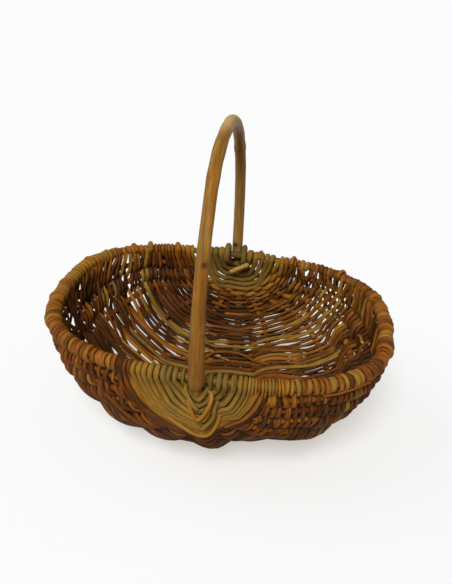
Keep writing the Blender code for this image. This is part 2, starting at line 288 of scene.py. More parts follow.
def rib_radius(share):
    from_ear = np.minimum(share, 1 - np.asarray(share, float)) - WEAVE_START
    return RIB_TIP_RADIUS + (RIB_RADIUS - RIB_TIP_RADIUS) * smooth(from_ear / RIB_TIP_TAPER)


# Sticks

SHORT_LUMPS = 0.012
LONG_LUMPS = 0.05
CUT_END_SIZE = 0.86
CUT_END_RISE = 0.12
BARK_SPREAD = 50
SHARP_EDGE = math.radians(60)


class Bundle:
    """Sticks gathered into one mesh, with the values that their bark is drawn from."""

    def __init__(self):
        self.points, self.faces, self.slots, self.bark = [], [], [], []
        self.values = {"tone": [], "wear_and_painted_light": [], "dark_marks_and_shade": []}
        self.count = 0

    def add(self, centres, normals, thick, wide, rng, tone, wear_and_painted_light=0.0, dark_marks_and_shade=0.0, sides=10, closed=False,
            slants=(0.0, 0.0), lumps=0.05, pale=False, first_turn=None):
        """One stick. thick is half its size along the normals, and wide half its size across them."""
        centres = np.asarray(centres, float)
        rings = len(centres)
        tangents = loop_ways(centres) if closed else unit(np.gradient(centres, axis=0))
        normals = unit(normals - (normals * tangents).sum(axis=1, keepdims=True) * tangents)
        binormals = np.cross(tangents, normals)
        length = lengths_along(centres)
        swell = 1 + wander(rng, length, SHORT_LUMPS, lumps) + wander(rng, length, LONG_LUMPS, lumps)
        if closed:
            swell = 1 + (swell - 1) * np.sin(np.linspace(0, math.pi, rings)) ** 0.5
        thick = np.broadcast_to(thick, rings) * swell
        wide = np.broadcast_to(wide, rings) * swell
        first_turn = rng.uniform(0, 1) if first_turn is None else first_turn
        turns = np.arange(sides) * 2 * math.pi / sides + first_turn
        cos, sin = np.cos(turns), np.sin(turns)
        ring = (centres[:, None] + normals[:, None] * (thick[:, None] * cos)[..., None]
                + binormals[:, None] * (wide[:, None] * sin)[..., None])
        if not closed:
            for end, slant in zip((0, -1), slants):
                ring[end] += tangents[end] * (slant * thick[end] * cos)[:, None]
        base = self.count
        self.points.append(ring.reshape(-1, 3))
        across = np.tile(np.mean(thick) * np.stack([cos, sin], axis=1), (rings, 1))
        bark = np.column_stack([np.repeat(length, sides), across])
        self.bark.append(bark + rng.uniform(-BARK_SPREAD, BARK_SPREAD, 3))
        for blocks, given in zip(self.values.values(), (tone, wear_and_painted_light, dark_marks_and_shade)):
            given = np.asarray(given, float)
            if given.ndim < 2:
                given = np.repeat(np.broadcast_to(given, rings), sides)
            blocks.append(given.reshape(-1))
        first = np.arange(rings if closed else rings - 1)
        following = (first + 1) % rings
        side = np.arange(sides)
        after = (side + 1) % sides
        quads = np.stack([first[:, None] * sides + side, first[:, None] * sides + after,
                          following[:, None] * sides + after, following[:, None] * sides + side], axis=-1)
        self.faces.extend((quads.reshape(-1, 4) + base).tolist())
        self.slots.extend([int(pale)] * (len(first) * sides))
        self.count += rings * sides
        if not closed:
            self.cap(ring[0], base, -tangents[0], thick[0], True)
            self.cap(ring[-1], base + (rings - 1) * sides, tangents[-1], thick[-1], False)

    def cap(self, ring, start, way, size, backward):
        """A cut end: a smaller ring a little proud of the stick's last one, closed by one face."""
        sides = len(ring)
        middle = ring.mean(axis=0)
        inner = middle + (ring - middle) * CUT_END_SIZE + way * size * CUT_END_RISE
        base = self.count
        self.points.append(inner)
        self.bark.append(np.repeat(self.bark[-1][:1], sides, axis=0) + (inner - middle))
        for blocks in self.values.values():
            blocks.append(np.full(sides, blocks[-1][0]))
        faces = [[start + side, start + (side + 1) % sides, base + (side + 1) % sides, base + side]
                 for side in range(sides)]
        faces.append([base + side for side in range(sides)])
        self.faces.extend(face[::-1] if backward else face for face in faces)
        self.slots.extend([0] * sides + [1])
        self.count += sides

    def make(self, name, materials, slot, *nodes):
        points = np.vstack(self.points) + RIM_MIDDLE
        # The rods that carry the basket are pressed flat on the ground.
        points[:, 2] = np.maximum(points[:, 2], 0.0)
        mesh = bpy.data.meshes.new(name)
        mesh.from_pydata(points.tolist(), [], self.faces)
        mesh.polygons.foreach_set("material_index", self.slots)
        layers = [("bark", "FLOAT_VECTOR", "vector", self.bark)]
        layers += [(label, "FLOAT", "value", blocks) for label, blocks in self.values.items()]
        for label, kind, key, blocks in layers:
            values = np.concatenate([np.asarray(block, np.float32).reshape(-1) for block in blocks])
            mesh.attributes.new(label, kind, "POINT").data.foreach_set(key, values)
        for material in materials:
            mesh.materials.append(material)
        mesh.update()
        mesh.shade_smooth()
        mesh.set_sharp_from_angle(angle=SHARP_EDGE)
        piece = bpy.data.objects.new(name, mesh)
        bpy.context.scene.collection.objects.link(piece)
        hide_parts(*nodes)
        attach(piece, "root")


# Materials


def add_node(tree, kind, inputs=(), **settings):
    """A new node with its settings, and its inputs linked or set."""
    made = tree.nodes.new(kind)
    for key, value in settings.items():
        setattr(made, key, value)
    for key, value in dict(inputs).items():
        if hasattr(value, "is_output"):
            tree.links.new(value, made.inputs[key])
        else:
            made.inputs[key].default_value = value
    return made


class Shader:
    """A material drawn from the sticks' own values, with noise in swings a metre along and across them."""

    def __init__(self, name):
        self.material = bpy.data.materials.new(name)
        self.material.use_nodes = True
        self.tree = self.material.node_tree
        self.surface = self.tree.nodes["Principled BSDF"]
        self.bark = self.attribute("bark", "Vector")

    def node(self, kind, inputs=(), **settings):
        return add_node(self.tree, kind, inputs, **settings)

    def attribute(self, name, socket="Fac"):
        return self.node("ShaderNodeAttribute", attribute_name=name).outputs[socket]

    def stretch(self, along, across):
        inputs = {"Vector": self.bark, "Scale": (along, across, across)}
        return self.node("ShaderNodeMapping", inputs).outputs[0]

    def noise(self, along, across, detail=3.0, roughness=0.6):
        inputs = {"Vector": self.stretch(along, across), "Scale": 1.0}
        inputs |= {"Detail": detail, "Roughness": roughness}
        return self.node("ShaderNodeTexNoise", inputs).outputs["Fac"]

    def spots(self, along, across):
        """The distance from the nearest of many scattered spots."""
        inputs = {"Vector": self.stretch(along, across), "Scale": 1.0}
        return self.node("ShaderNodeTexVoronoi", inputs).outputs["Distance"]

    def math(self, operation, first, second=0.0, third=0.0, clamp=False):
        inputs = {0: first, 1: second, 2: third}
        return self.node("ShaderNodeMath", inputs, operation=operation, use_clamp=clamp).outputs[0]

    def spread(self, value, low, high, to_low=0.0, to_high=1.0):
        inputs = {"Value": value, "From Min": low, "From Max": high, "To Min": to_low, "To Max": to_high}
        return self.node("ShaderNodeMapRange", inputs).outputs[0]

    def ramp(self, value, stops):
        made = self.node("ShaderNodeValToRGB", {"Fac": value})
        elements = made.color_ramp.elements
        while len(elements) < len(stops):
            elements.new(0.5)
        for element, (place, colour) in zip(elements, stops):
            element.position = place
            element.color = (*colour, 1)
        return made.outputs["Color"]

    def mix(self, factor, first, second, blend="MIX"):
        first, second = ((*value, 1) if isinstance(value, tuple) else value for value in (first, second))
        inputs = {0: factor, 6: first, 7: second}
        return self.node("ShaderNodeMix", inputs, data_type="RGBA", blend_type=blend).outputs[2]

    def finish(self, colour, roughness, bump, strength, distance, specular=0.09):
        made = self.node("ShaderNodeBump", {"Height": bump, "Strength": strength, "Distance": distance})
        for value, name in ((colour, "Base Color"), (roughness, "Roughness"), (made.outputs[0], "Normal")):
            self.tree.links.new(value, self.surface.inputs[name])
        self.surface.inputs["Specular IOR Level"].default_value = specular
        return self.material


# As a rod's tone rises from 0 to 1: dark brown, red-brown, golden, olive and grey-green bark.
BARK_TONES = (
    (0.00, (0.040, 0.012, 0.003)),
    (0.18, (0.115, 0.029, 0.004)),
    (0.36, (0.215, 0.058, 0.006)),
    (0.54, (0.300, 0.108, 0.010)),
    (0.72, (0.310, 0.148, 0.016)),
    (0.88, (0.250, 0.138, 0.020)),
    (0.95, (0.205, 0.122, 0.024)),
    (1.00, (0.135, 0.084, 0.018)),
)
# Golden worn bark, also laid on as painted light.
WORN_AND_LIT = (0.38, 0.170, 0.018)
DARK_SCAR = (0.022, 0.009, 0.003)
GREY_FILM = (0.25, 0.165, 0.055)
CUT_WOOD = ((0.25, (0.30, 0.155, 0.030)), (0.75, (0.62, 0.37, 0.09)))
HANDLE_GRAIN = ((0.0, (0.150, 0.066, 0.007)), (0.5, (0.255, 0.128, 0.015)), (1.0, (0.37, 0.215, 0.040)))
# The handle's tint, from orange to a lighter grey. The grey, lighter left side is partly the bark's own
# colour and partly painted light.
HANDLE_TINTS = ((0.0, (0.98, 0.72, 0.42)), (0.5, (1.02, 0.88, 0.68)), (1.0, (1.00, 1.06, 1.15)))
HANDLE_STAIN = (0.115, 0.052, 0.014)
HANDLE_SPECK = (0.10, 0.045, 0.014)
# Sun-bleached wood with a painted highlight on the handle's top, and painted light on its far leg.
HANDLE_BLEACH_AND_HIGHLIGHT = (0.53, 0.33, 0.125)
# Knots, and the painted shade on the lower near leg.
HANDLE_KNOT_AND_SHADE = (0.045, 0.020, 0.008)


def bark_material(name, scar_share=0.5, film_share=0.36):
    """Willow bark: colour by tone, which carries some painted light and shade, lengthwise wrinkles, patches,
    leaf scars, pale specks, and worn places that carry painted light too.
    """
    s = Shader(name)
    patches = s.noise(28, 190, roughness=0.55)
    fibre = s.noise(75, 1500)
    fine = s.noise(420, 3200, 2.0)
    shifted = s.math("MULTIPLY_ADD", s.spread(patches, 0.3, 0.7, -1, 1), 0.10, s.attribute("tone"))
    shifted = s.math("MULTIPLY_ADD", s.spread(fibre, 0.3, 0.7, -1, 1), 0.055, shifted, clamp=True)
    colour = s.ramp(shifted, BARK_TONES)
    film = s.noise(16, 420, roughness=0.65)
    colour = s.mix(s.spread(film, 0.56, 0.78, 0, film_share), colour, GREY_FILM)
    # Worn, lighter places in patches: real wear, and painted light on the right of the weave's back and on
    # the left rim's middle.
    lighter_patches = s.spread(s.noise(55, 300), 0.36, 0.62)
    worn_and_lit = s.math("MULTIPLY", s.attribute("wear_and_painted_light"), lighter_patches, clamp=True)
    colour = s.mix(s.math("MULTIPLY", worn_and_lit, 0.6), colour, WORN_AND_LIT)
    shade = s.spread(fibre, 0.28, 0.72, 0.46, 1.34)
    grey = s.node("ShaderNodeCombineColor", {0: shade, 1: shade, 2: shade}).outputs[0]
    colour = s.mix(1.0, colour, grey, "MULTIPLY")
    colour = s.mix(s.spread(s.spots(330, 700), 0.10, 0.20, 0.45, 0.0), colour, GREY_FILM)
    scars = s.math("MULTIPLY", s.spread(s.spots(36, 150), 0.09, 0.17, 1, 0), scar_share)
    colour = s.mix(s.math("MAXIMUM", scars, s.attribute("dark_marks_and_shade")), colour, DARK_SCAR)
    roughness = s.spread(fine, 0.3, 0.7, 0.42, 0.66)
    height = s.math("MULTIPLY_ADD", fibre, 0.6, s.math("MULTIPLY", fine, 0.4))
    height = s.math("SUBTRACT", height, s.math("MULTIPLY", scars, 0.8))
    return s.finish(colour, roughness, height, 0.7, 0.0008)


def cut_material():
    """Pale cut willow wood with a fine grain."""
    s = Shader("cut_willow")
    grain = s.noise(900, 900)
    return s.finish(s.ramp(grain, CUT_WOOD), s.spread(grain, 0.3, 0.7, 0.6, 0.8), grain, 0.4, 0.0004, 0.12)


def handle_material():
    """The handle's smooth golden tan wood, with long grain, stains, specks and knots, a sun-bleached top with
    a painted highlight, painted light on the far leg and painted shade on the lower near leg.
    """
    s = Shader("handle_stick")
    grain = s.noise(26, 360, 4.0)
    fine = s.noise(160, 2400)
    cloud = s.spread(s.noise(26, 110, roughness=0.55), 0.35, 0.65, -1, 1)
    colour = s.ramp(s.spread(grain, 0.3, 0.7), HANDLE_GRAIN)
    # The tint is greyer and lighter on the handle's left: partly grey bark, partly painted light.
    side = s.math("MULTIPLY_ADD", cloud, 0.35, s.attribute("tone"), clamp=True)
    colour = s.mix(1.0, colour, s.ramp(side, HANDLE_TINTS), "MULTIPLY")
    colour = s.mix(s.spread(s.noise(45, 240, 4.0), 0.56, 0.74, 0, 0.5), colour, HANDLE_STAIN)
    colour = s.mix(s.spread(s.spots(210, 330), 0.07, 0.15, 0.55, 0.0), colour, HANDLE_SPECK)
    # The bleached top with its painted highlight, and the far leg's painted light.
    colour = s.mix(s.attribute("wear_and_painted_light"), colour, HANDLE_BLEACH_AND_HIGHLIGHT)
    # Knots, and painted shade on the lower near leg.
    colour = s.mix(s.attribute("dark_marks_and_shade"), colour, HANDLE_KNOT_AND_SHADE)
    height = s.math("MULTIPLY_ADD", grain, 0.5, s.math("MULTIPLY", fine, 0.5))
    return s.finish(colour, s.spread(fine, 0.3, 0.7, 0.42, 0.62), height, 0.35, 0.0006, 0.18)


BARK = bark_material("willow_bark")
EAR_BARK = bark_material("ear_bark", 0.35, 0.6)
RIB_BARK = bark_material("rib_bark", 0.6)
CUT = cut_material()
HANDLE = handle_material()


# Rim, ribs and the handle hoop

RIM_STEPS = 120
RIM_SIDES = 14
RIM_TONE = 0.96
# The rim stick swells by this share at the far crossing, from the first share of its line over the second.
FAR_RIM_SWELL = 0.16
FAR_RIM_SWELL_FROM = 0.97
FAR_RIM_SWELL_OVER = 0.025
# How dark the rim is beside the far crossing: distances in metres and values.
FAR_RIM_DARK = ((0.012, 0.03), (0.32, 0.0))
RIB_STEPS = 90
RIB_SIDES = 12
RIB_TONE = 0.36
RIB_TONE_RANGE = 0.2
RIB_SWELL = 0.06
RIB_SWELL_STEP = 0.07


def build_rim():
    rng = np.random.default_rng(SEED + 11)
    shares = np.linspace(0.0, 1.0, RIM_STEPS)
    right, left = (at(POINTS, line, shares) for line in (RIGHT_RIM, LEFT_RIM))
    centres = np.vstack([right, left[::-1][1:-1]])
    swell = FAR_RIM_SWELL * smooth((shares - FAR_RIM_SWELL_FROM) / FAR_RIM_SWELL_OVER)
    radii = rim_radius(shares) * (1 + swell)
    radii = np.concatenate([radii, radii[::-1][1:-1]])
    dark_marks_and_shade = np.interp(np.abs(centres[:, 0] - right[-1, 0]), *FAR_RIM_DARK) * (centres[:, 1] > 0)
    normals = np.tile([0.0, 0.0, 1.0], (len(centres), 1))
    bundle = Bundle()
    bundle.add(centres, normals, radii, radii, rng, RIM_TONE, 0.0, dark_marks_and_shade, sides=RIM_SIDES, closed=True,
               lumps=0.03)
    bundle.make("rim_stick", (RIB_BARK, CUT), "rim_wood", "rim_hoop")


def build_ribs():
    shares = np.linspace(EAR_END, 1 - EAR_END, RIB_STEPS)
    for line in [line for line in range(1, RIGHT_RIM) if line != KEEL]:
        rng = np.random.default_rng(SEED + 20 + line)
        radii = rib_radius(shares) * (1 + wander(rng, shares, RIB_SWELL_STEP, RIB_SWELL))
        tone = RIB_TONE + RIB_TONE_RANGE * rng.uniform(-1, 1)
        bundle = Bundle()
        bundle.add(at(POINTS, line, shares), direction_at(OUTWARD, line, shares), radii, radii, rng, tone,
                   sides=RIB_SIDES, slants=(0.4, -0.4))
        place = f"left_{line}" if line < KEEL else f"right_{RIGHT_RIM - line}"
        bundle.make(f"rib_stick_{place}", (RIB_BARK, CUT), "rib_willow", f"rib_{place}")


HANDLE_STEPS = 600
HANDLE_STEP = 0.0022
KEEL_STEPS = 200
HANDLE_SIDES = 24
HANDLE_LEAN = 0.0076
# The arch's bends off the plain hoop: share from the far foot, and millimetres to the right and outward.
HANDLE_BENDS = (
    (0.0, -2.6, 0.0), (0.1, -2.0, 0.0), (0.22, -1.4, 0.0), (0.33, -1.8, 0.0), (0.42, -3.2, -1.0),
    (0.5, -2.6, -2.0), (0.58, -1.6, -1.2), (0.66, -1.1, 0.0), (0.72, -0.7, 0.0), (0.77, -1.3, 0.0),
    (0.9, -2.6, 0.0), (1.0, -2.2, 0.0))
# The arch's knots: share from the far foot, angle round the stick in degrees, size in millimetres, swelling.
HANDLE_KNOTS = (
    (0.020, 164, 7.0, 0.04), (0.262, 105, 4.5, 0.10), (0.268, -105, 4.0, 0.10), (0.49, 63, 6.0, 0.05),
    (0.535, -30, 2.4, 0.03), (0.791, -23, 6.0, 0.05), (0.66, 20, 2.2, 0.03), (0.90, -40, 2.6, 0.03))
KNOT_CORE = 0.42
KNOT_SWELLING = 1.3
KNOT_STRENGTH = 1.6
KNOT_DARKEST = 0.95
# The shares of the arch over which the far leg's radius changes to the near leg's.
LEG_CHANGE = (0.38, 0.46)
FOOT_HEIGHT = 0.110
NEAR_FOOT_END = -0.002
NEAR_FOOT_ROUNDING = 0.010
FOOT_BEND = 0.0024
FOOT_BEND_FADE = 0.045


def plain_arch():
    """The arch without its bends from the far foot to the near one, and the shares of its length."""
    turn = np.linspace(0, math.pi, HANDLE_STEPS)
    reach = np.where(turn < math.pi / 2, HOOP_FAR_REACH, HOOP_NEAR_REACH)
    power = 2 / HANDLE_POWER
    y = reach * np.sign(np.cos(turn)) * np.abs(np.cos(turn)) ** power
    z = HANDLE_RISE * np.sin(turn) ** power
    curve = np.stack([-HANDLE_LEAN * z / HANDLE_RISE, y, z], axis=1)
    lengths = lengths_along(curve)
    share = np.linspace(0, 1, int(round(lengths[-1] / HANDLE_STEP)) + 1)
    return interpolate(share * lengths[-1], lengths, curve), share


def handle_hoop():
    """Centres and radii of the bent arch and of the keel back to the far foot, and how many the arch has."""
    arch, share = plain_arch()
    bends = np.array(HANDLE_BENDS)
    outward = np.cross(unit(np.gradient(arch, axis=0)), RIGHTWARD)
    rightward_bend, outward_bend = interpolate(share, bends[:, 0], bends[:, 1:]).T[..., None] * MM
    arch = arch + rightward_bend * RIGHTWARD + outward_bend * outward
    foot = np.where(share < 0.5, FAR_FOOT_RADIUS, NEAR_FOOT_RADIUS)
    leg = np.interp(share, LEG_CHANGE, (FAR_LEG_RADIUS, HANDLE_RADIUS))
    arch_radii = leg + (foot - leg) * np.clip(1 - arch[:, 2] / FOOT_HEIGHT, 0, 1)
    keel_shares = np.linspace(0, 1, KEEL_STEPS)[1:-1]
    keel = at(POINTS, KEEL, keel_shares)
    from_end = np.minimum(keel_shares, 1 - keel_shares) * KEEL_LENGTH
    keel[:, 0] -= FOOT_BEND * smooth(1 - from_end / FOOT_BEND_FADE)
    centres = np.vstack([arch, keel])
    radii = np.concatenate([arch_radii, keel_radius(keel_shares)])
    rounded = np.sqrt(np.clip((centres[:, 2] - NEAR_FOOT_END) / NEAR_FOOT_ROUNDING, 0, 1))
    near_foot = (centres[:, 1] < 0) & (rounded < 1)
    radii = np.where(near_foot, KEEL_RADIUS + (NEAR_FOOT_RADIUS - KEEL_RADIUS) * rounded, radii)
    return centres, radii, len(arch)


def handle_looks(rng, facing, lengths, along_arch):
    """The handle's tones, bleaching with painted highlight and light, and painted shade, by ring and side. It
    is greyer and lighter on its left: partly grey bark, partly painted light.
    """
    far_leg = smooth(1 - along_arch / 0.47)
    # Greyer and lighter where it faces left: partly the bark's grey, partly painted light.
    tone = 0.47 - 0.30 * facing[..., 0] + wander(rng, lengths, 0.06, 0.2)[:, None]
    # The far leg's tone is raised: painted light. The lower near leg's tone is lowered: painted shade.
    tone += (0.22 * far_leg - 0.16 * smooth((along_arch - 0.75) / 0.25))[:, None]
    # The top is lighter, most where it faces up: sun bleaching with a painted highlight. The far leg is
    # lighter too: painted light.
    top = smooth((0.56 - along_arch) / 0.08) * smooth((along_arch - 0.32) / 0.06)
    bleach_and_highlight = top[:, None] * (0.25 + 0.75 * np.clip(facing[..., 2], 0, 1))
    bleach_and_highlight = np.maximum(bleach_and_highlight, (0.22 * far_leg * (along_arch < 1))[:, None])
    # The lower near leg is darkened, more on its left: painted shade.
    low_near_leg_shade = smooth((along_arch - 0.78) / 0.14) * (along_arch < 1.02)
    return tone, bleach_and_highlight, low_near_leg_shade[:, None] * (0.17 - 0.10 * facing[..., 0])


def build_handle():
    rng = np.random.default_rng(SEED + 1)
    centres, radii, arch_count = handle_hoop()
    lengths = lengths_along(centres)
    arch_length = lengths[arch_count - 1]
    tangents = loop_ways(centres)
    normals = unit(np.cross(tangents, RIGHTWARD))
    binormals = np.cross(tangents, normals)
    angles = np.arange(HANDLE_SIDES) * 2 * math.pi / HANDLE_SIDES
    facing = (normals[:, None] * np.cos(angles)[None, :, None]
              + binormals[:, None] * np.sin(angles)[None, :, None])
    tone, bleach_and_highlight, dark = handle_looks(rng, facing, lengths, lengths / arch_length)
    bulge = np.zeros_like(dark)
    for where, angle, size, swelling in HANDLE_KNOTS:
        along = (lengths - where * arch_length)[:, None]
        around = (angles - math.radians(angle) + math.pi) % (2 * math.pi) - math.pi
        distance = np.hypot(along, around[None, :] * FAR_LEG_RADIUS) / (size * MM)
        core = KNOT_STRENGTH * np.exp(-((distance / KNOT_CORE) ** 2))
        dark = np.maximum(dark, np.minimum(core, KNOT_DARKEST))
        bulge += swelling * np.exp(-((distance / KNOT_SWELLING) ** 2))
    bundle = Bundle()
    bundle.add(centres, normals, radii, radii, rng, tone, bleach_and_highlight, dark, sides=HANDLE_SIDES, closed=True,
               lumps=0.035, first_turn=0.0)
    ring = bundle.points[0].reshape(*bulge.shape, 3)
    middle = ring.mean(axis=1, keepdims=True)
    bundle.points[0] = (middle + (ring - middle) * (1 + bulge)[..., None]).reshape(-1, 3)
    bundle.make("handle_stick", (HANDLE, CUT), "handle_wood", "handle_hoop")


# Weaving rods

WRAPS = 73
COURSES = 118
TURNS = COURSES // 2 + 1
THIN_ROD = 0.00214
EAR_ROD = 0.0027
EAR_ROD_FADE = 3.5
ROD_SIZES = (0.78, 1.26)
# Share of each line's length that is left open between the rods.
OPENING_SHARES = (0, 0.065, 0.06, 0.045, 0.03, 0.015, 0.006, 0.016, 0.03, 0.045, 0.055, 0.06, 0)
# How open the weave is on the left and on the right, by q.
OPENNESS = (((0.0, 0.45, 0.6, 0.72, 0.85, 1.0), (0.2, 0.3, 1.1, 1.3, 0.8, 0.4)),
            ((0.0, 0.45, 0.56, 0.66, 0.8, 1.0), (0.2, 0.3, 1.5, 1.3, 0.8, 0.4)))
OPEN_CHANCE = 0.42
SHUT_GAP = 0.12
GAP_WAVES = 2.4
GAP_WAVE_STEP = 2.2
GAP_SPREAD = 1.2
# Wide openings: line, share, and how far in millimetres the rods stand apart.
WIDE_GAPS = (
    (7.7, 0.700, 8), (8.15, 0.586, 4), (8.85, 0.620, 4), (8.3, 0.682, 3), (9.0, 0.584, 3), (9.9, 0.644, 4),
    (10.75, 0.704, 4), (11.2, 0.662, 3), (10.8, 0.800, 4), (9.6, 0.760, 3), (3.75, 0.590, 4),
    (4.05, 0.648, 3), (2.35, 0.638, 4), (1.0, 0.572, 4), (1.2, 0.600, 6), (1.3, 0.625, 8), (1.3, 0.652, 4),
    (1.2, 0.676, 6), (1.3, 0.705, 5), (3.0, 0.610, 4))
# Further back than this the rib next to each rim lies between the same rods as the rim does.
SKIPPED_FROM = 0.47
PHASES = np.array([0, 0, 1, 2, 3, 4, 5, 6, 7, 8, 9, 10, 10])
# How far the courses follow the wraps, from the rim to the keel, evened out over so many on each side.
RIM_PULLS = (1.0, 0.8, 0.6, 0.42, 0.2, 0.05, 0.0)
EVENED_COURSES = 6
# The chance that a course passes over one or two sticks more, and how many courses at the ears never do.
FLOAT_CHANCE = 0.28
STEADY_COURSES = 5
# These courses run wholly outside or wholly inside the sticks, like the near ear's lashing.
NEAR_FAN_COURSES = 6
# How far a wrap's inner end lies to one side, as a share of its width.
INSIDE_SHIFT = 0.20
# How dark the courses are by q, a painted shade, and the tones of single rods with their shares.
PAINTED_SHADES = ((0.0, 0.3, 0.4, 0.55, 0.9), (0.09, 0.05, 0.20, 0.12, 0.14))
ROD_TONES = (0.02, 0.14, 0.26, 0.38, 0.54, 0.74, 0.92)
ROD_TONE_SHARES = (0.23, 0.29, 0.22, 0.13, 0.06, 0.03, 0.04)
NEW_TONE_CHANCE = 0.8
TONE_SPREAD = 0.09
# The joined rod is lighter than that in a part of the weave's back: painted light.
JOINED_PAINTED_LIGHT = 0.12
JOINED_PAINTED_LIGHT_FROM, JOINED_PAINTED_LIGHT_TO = 0.6, 0.92
# How far the ears' tones take over in the first course, and over how many courses this fades at each ear.
EAR_TONES = (0.97, 0.88, 0.72)
EAR_TONE_SHARE = 0.8
NEAR_TONE_FADE, FAR_TONE_FADE = 0.6, 3.0
# By q, on the left and the right rim: how wide the wraps are in millimetres, and their usual tones.
WRAP_WIDTHS = (((0.0, 0.08, 0.2, 0.35, 0.5, 0.62, 0.8, 1.0), (6.0, 6.2, 6.6, 7.8, 7.6, 6.2, 5.2, 5.6)),
               ((0.0, 0.04, 0.07, 0.12, 0.22, 0.32, 0.52, 0.66, 0.85, 1.0),
                (3.3, 3.3, 3.6, 4.6, 6.6, 8.2, 7.6, 5.8, 5.4, 6.2)))
WRAP_TONES = (((0.0, 0.1, 0.3, 0.42, 0.62, 0.82, 0.9, 1.0), (0.5, 0.42, 0.5, 0.78, 0.78, 0.52, 0.66, 0.95)),
              ((0.0, 0.08, 0.1, 0.5, 0.62, 0.72, 0.82, 0.9, 1.0),
               (0.72, 0.72, 0.52, 0.56, 0.52, 0.34, 0.38, 0.74, 0.95)))
# How thick the wraps stand on the rim stick by q, in metres.
WRAP_THICKNESS = ((0.0, 0.15, 0.30, 0.52, 0.72, 1.0), (0.0034, 0.0037, 0.0047, 0.0047, 0.0035, 0.0033))
WRAP_THICKNESS_RANGE = (0.80, 1.22)
WRAP_WIDTH_SPREAD = 0.24
WRAP_WIDTH_LIMITS = (-0.55, 0.42)
# Half a wrap's width and an extra wrap's, as shares of its room on the rim.
WRAP_HALF_SHARE = 0.43
EXTRA_HALF_SHARE = 0.44
# Ranges of a wrap's lift off the rim and of its lean, and an extra wrap's lean, in shares of its size.
LIFT_RANGE = (0.85, 1.3)
LEAN_RANGE = (0.1, 0.4)
EXTRA_LEAN = 0.3
# How far a rod sinks towards the rim where it ends inside, and how close it lies on a stick.
INSIDE_SINK = 0.8
CLOSENESS = 0.96
ARC_STEPS = 14
WALL_STEPS = 7
# A rod's turn round a rim in degrees, where it comes from outside or from inside, and an extra wrap's turn.
OUTSIDE_TURN = (-18, 218)
INSIDE_TURN = (200, 142)
EXTRA_TURN = (-70, 262)
TAIL_SIZES = (0.5, 0.75, 0.9)
CUT_SLANTS = (0.5, -0.5)
# A rod tapers from end to end, wavers in three directions in metres, and is a little flattened in the weave.
ROD_TAPER = 0.14
WAVER_SIZES = (0.0005, 0.0009, 0.0005)
WAVER_STEP = 9
FLATTENED = 0.10
# Where along its way a course's second rod is joined.
JOIN_RANGE = (0.15, 0.85)
# The rods' tone falls towards the right rim: painted shade on the right, painted light on the left.
PAINTED_SHADE_SLOPE = 0.10
# The front half's rods are lighter beyond this share on each side of the middle, fading in over the next:
# painted light.
SIDES_PAINTED_LIGHT = 0.12
SIDES_PAINTED_LIGHT_FROM, SIDES_PAINTED_LIGHT_OVER = 0.3, 0.15
# Rods are worn a little, and the right of the back is lighter still: painted light.
ROD_WEAR = 0.15
BACK_PAINTED_LIGHT = 0.5
BACK_PAINTED_LIGHT_FROM, RIGHT_PAINTED_LIGHT_FROM = 0.64, 0.55
# How much the wraps' tones vary on the left and the right rim. The left rim is lighter midway: painted light.
WRAP_TONE_SHIFT = -0.05
WRAP_TONE_SPREADS = (0.18, 0.24)
EXTRA_TONE_SHIFT = -0.04
DARKEST_WRAP = 0.05
WRAP_WEARS = (0.1, 0.6)
LEFT_RIM_PAINTED_LIGHT = 0.5


def middles(count):
    """The q of each of so many equal parts."""
    return (np.arange(count) + 0.5) / count


def rim_plan(rng, column):
    """Places and widths of a rim's wraps: each turn's, and those of the rods wound round the rim once more.

    A turn joins the course that comes up outside to the one that goes down inside.
    """
    usual = np.interp(middles(WRAPS), *WRAP_WIDTHS[column])
    widths = usual * np.exp(np.clip(rng.normal(0, WRAP_WIDTH_SPREAD, WRAPS), *WRAP_WIDTH_LIMITS))
    ends = np.cumsum(widths)
    near, far = weave_span(RIMS[column])
    run = far - near
    share = near + run * (ends - widths / 2) / ends[-1]
    widths = widths / ends[-1] * run * RIM_RUN
    extra = np.zeros(WRAPS, bool)
    extra[rng.permutation(np.arange(3, WRAPS - 3))[:WRAPS - TURNS]] = True
    return share[~extra], widths[~extra], list(zip(share[extra], widths[extra]))


def spread_places(line, radii, gaps, wide_gaps, places):
    """Where the courses cross a line: side by side with gaps, and drawn towards their places on the rim."""
    near, far = weave_span(line)
    run = (far - near) * LINE_RUNS[line]
    opening = OPENING_SHARES[line] * run
    widths = radii * (run - opening) / radii.sum() + gaps / gaps.sum() * opening
    ends = np.cumsum(widths + wide_gaps)
    even = near + (far - near) * (ends - wide_gaps - widths / 2) / ends[-1]
    rim = LEFT_RIM if line < KEEL else RIGHT_RIM
    drift = np.pad(places[:, rim] - even, EVENED_COURSES, mode="edge")
    window = 2 * EVENED_COURSES + 1
    return even + RIM_PULLS[abs(rim - line)] * np.convolve(drift, np.ones(window) / window, mode="valid")


def weave_sides(rng, q):
    """1 where a course passes outside a line's stick and -1 where it passes inside."""
    sides = np.empty((COURSES, LINES), int)
    for course in range(COURSES):
        steps = PHASES if q[course] > SKIPPED_FROM else np.arange(LINES)
        sides[course] = 1 - 2 * ((steps + course) % 2)
        if rng.uniform() < FLOAT_CHANCE and STEADY_COURSES < course < COURSES - STEADY_COURSES:
            first = rng.integers(1, LINES - 4)
            sides[course, first:first + rng.integers(1, 3)] *= -1
        if course < NEAR_FAN_COURSES:
            sides[course] = 1 if course % 2 == 0 else -1
    return sides


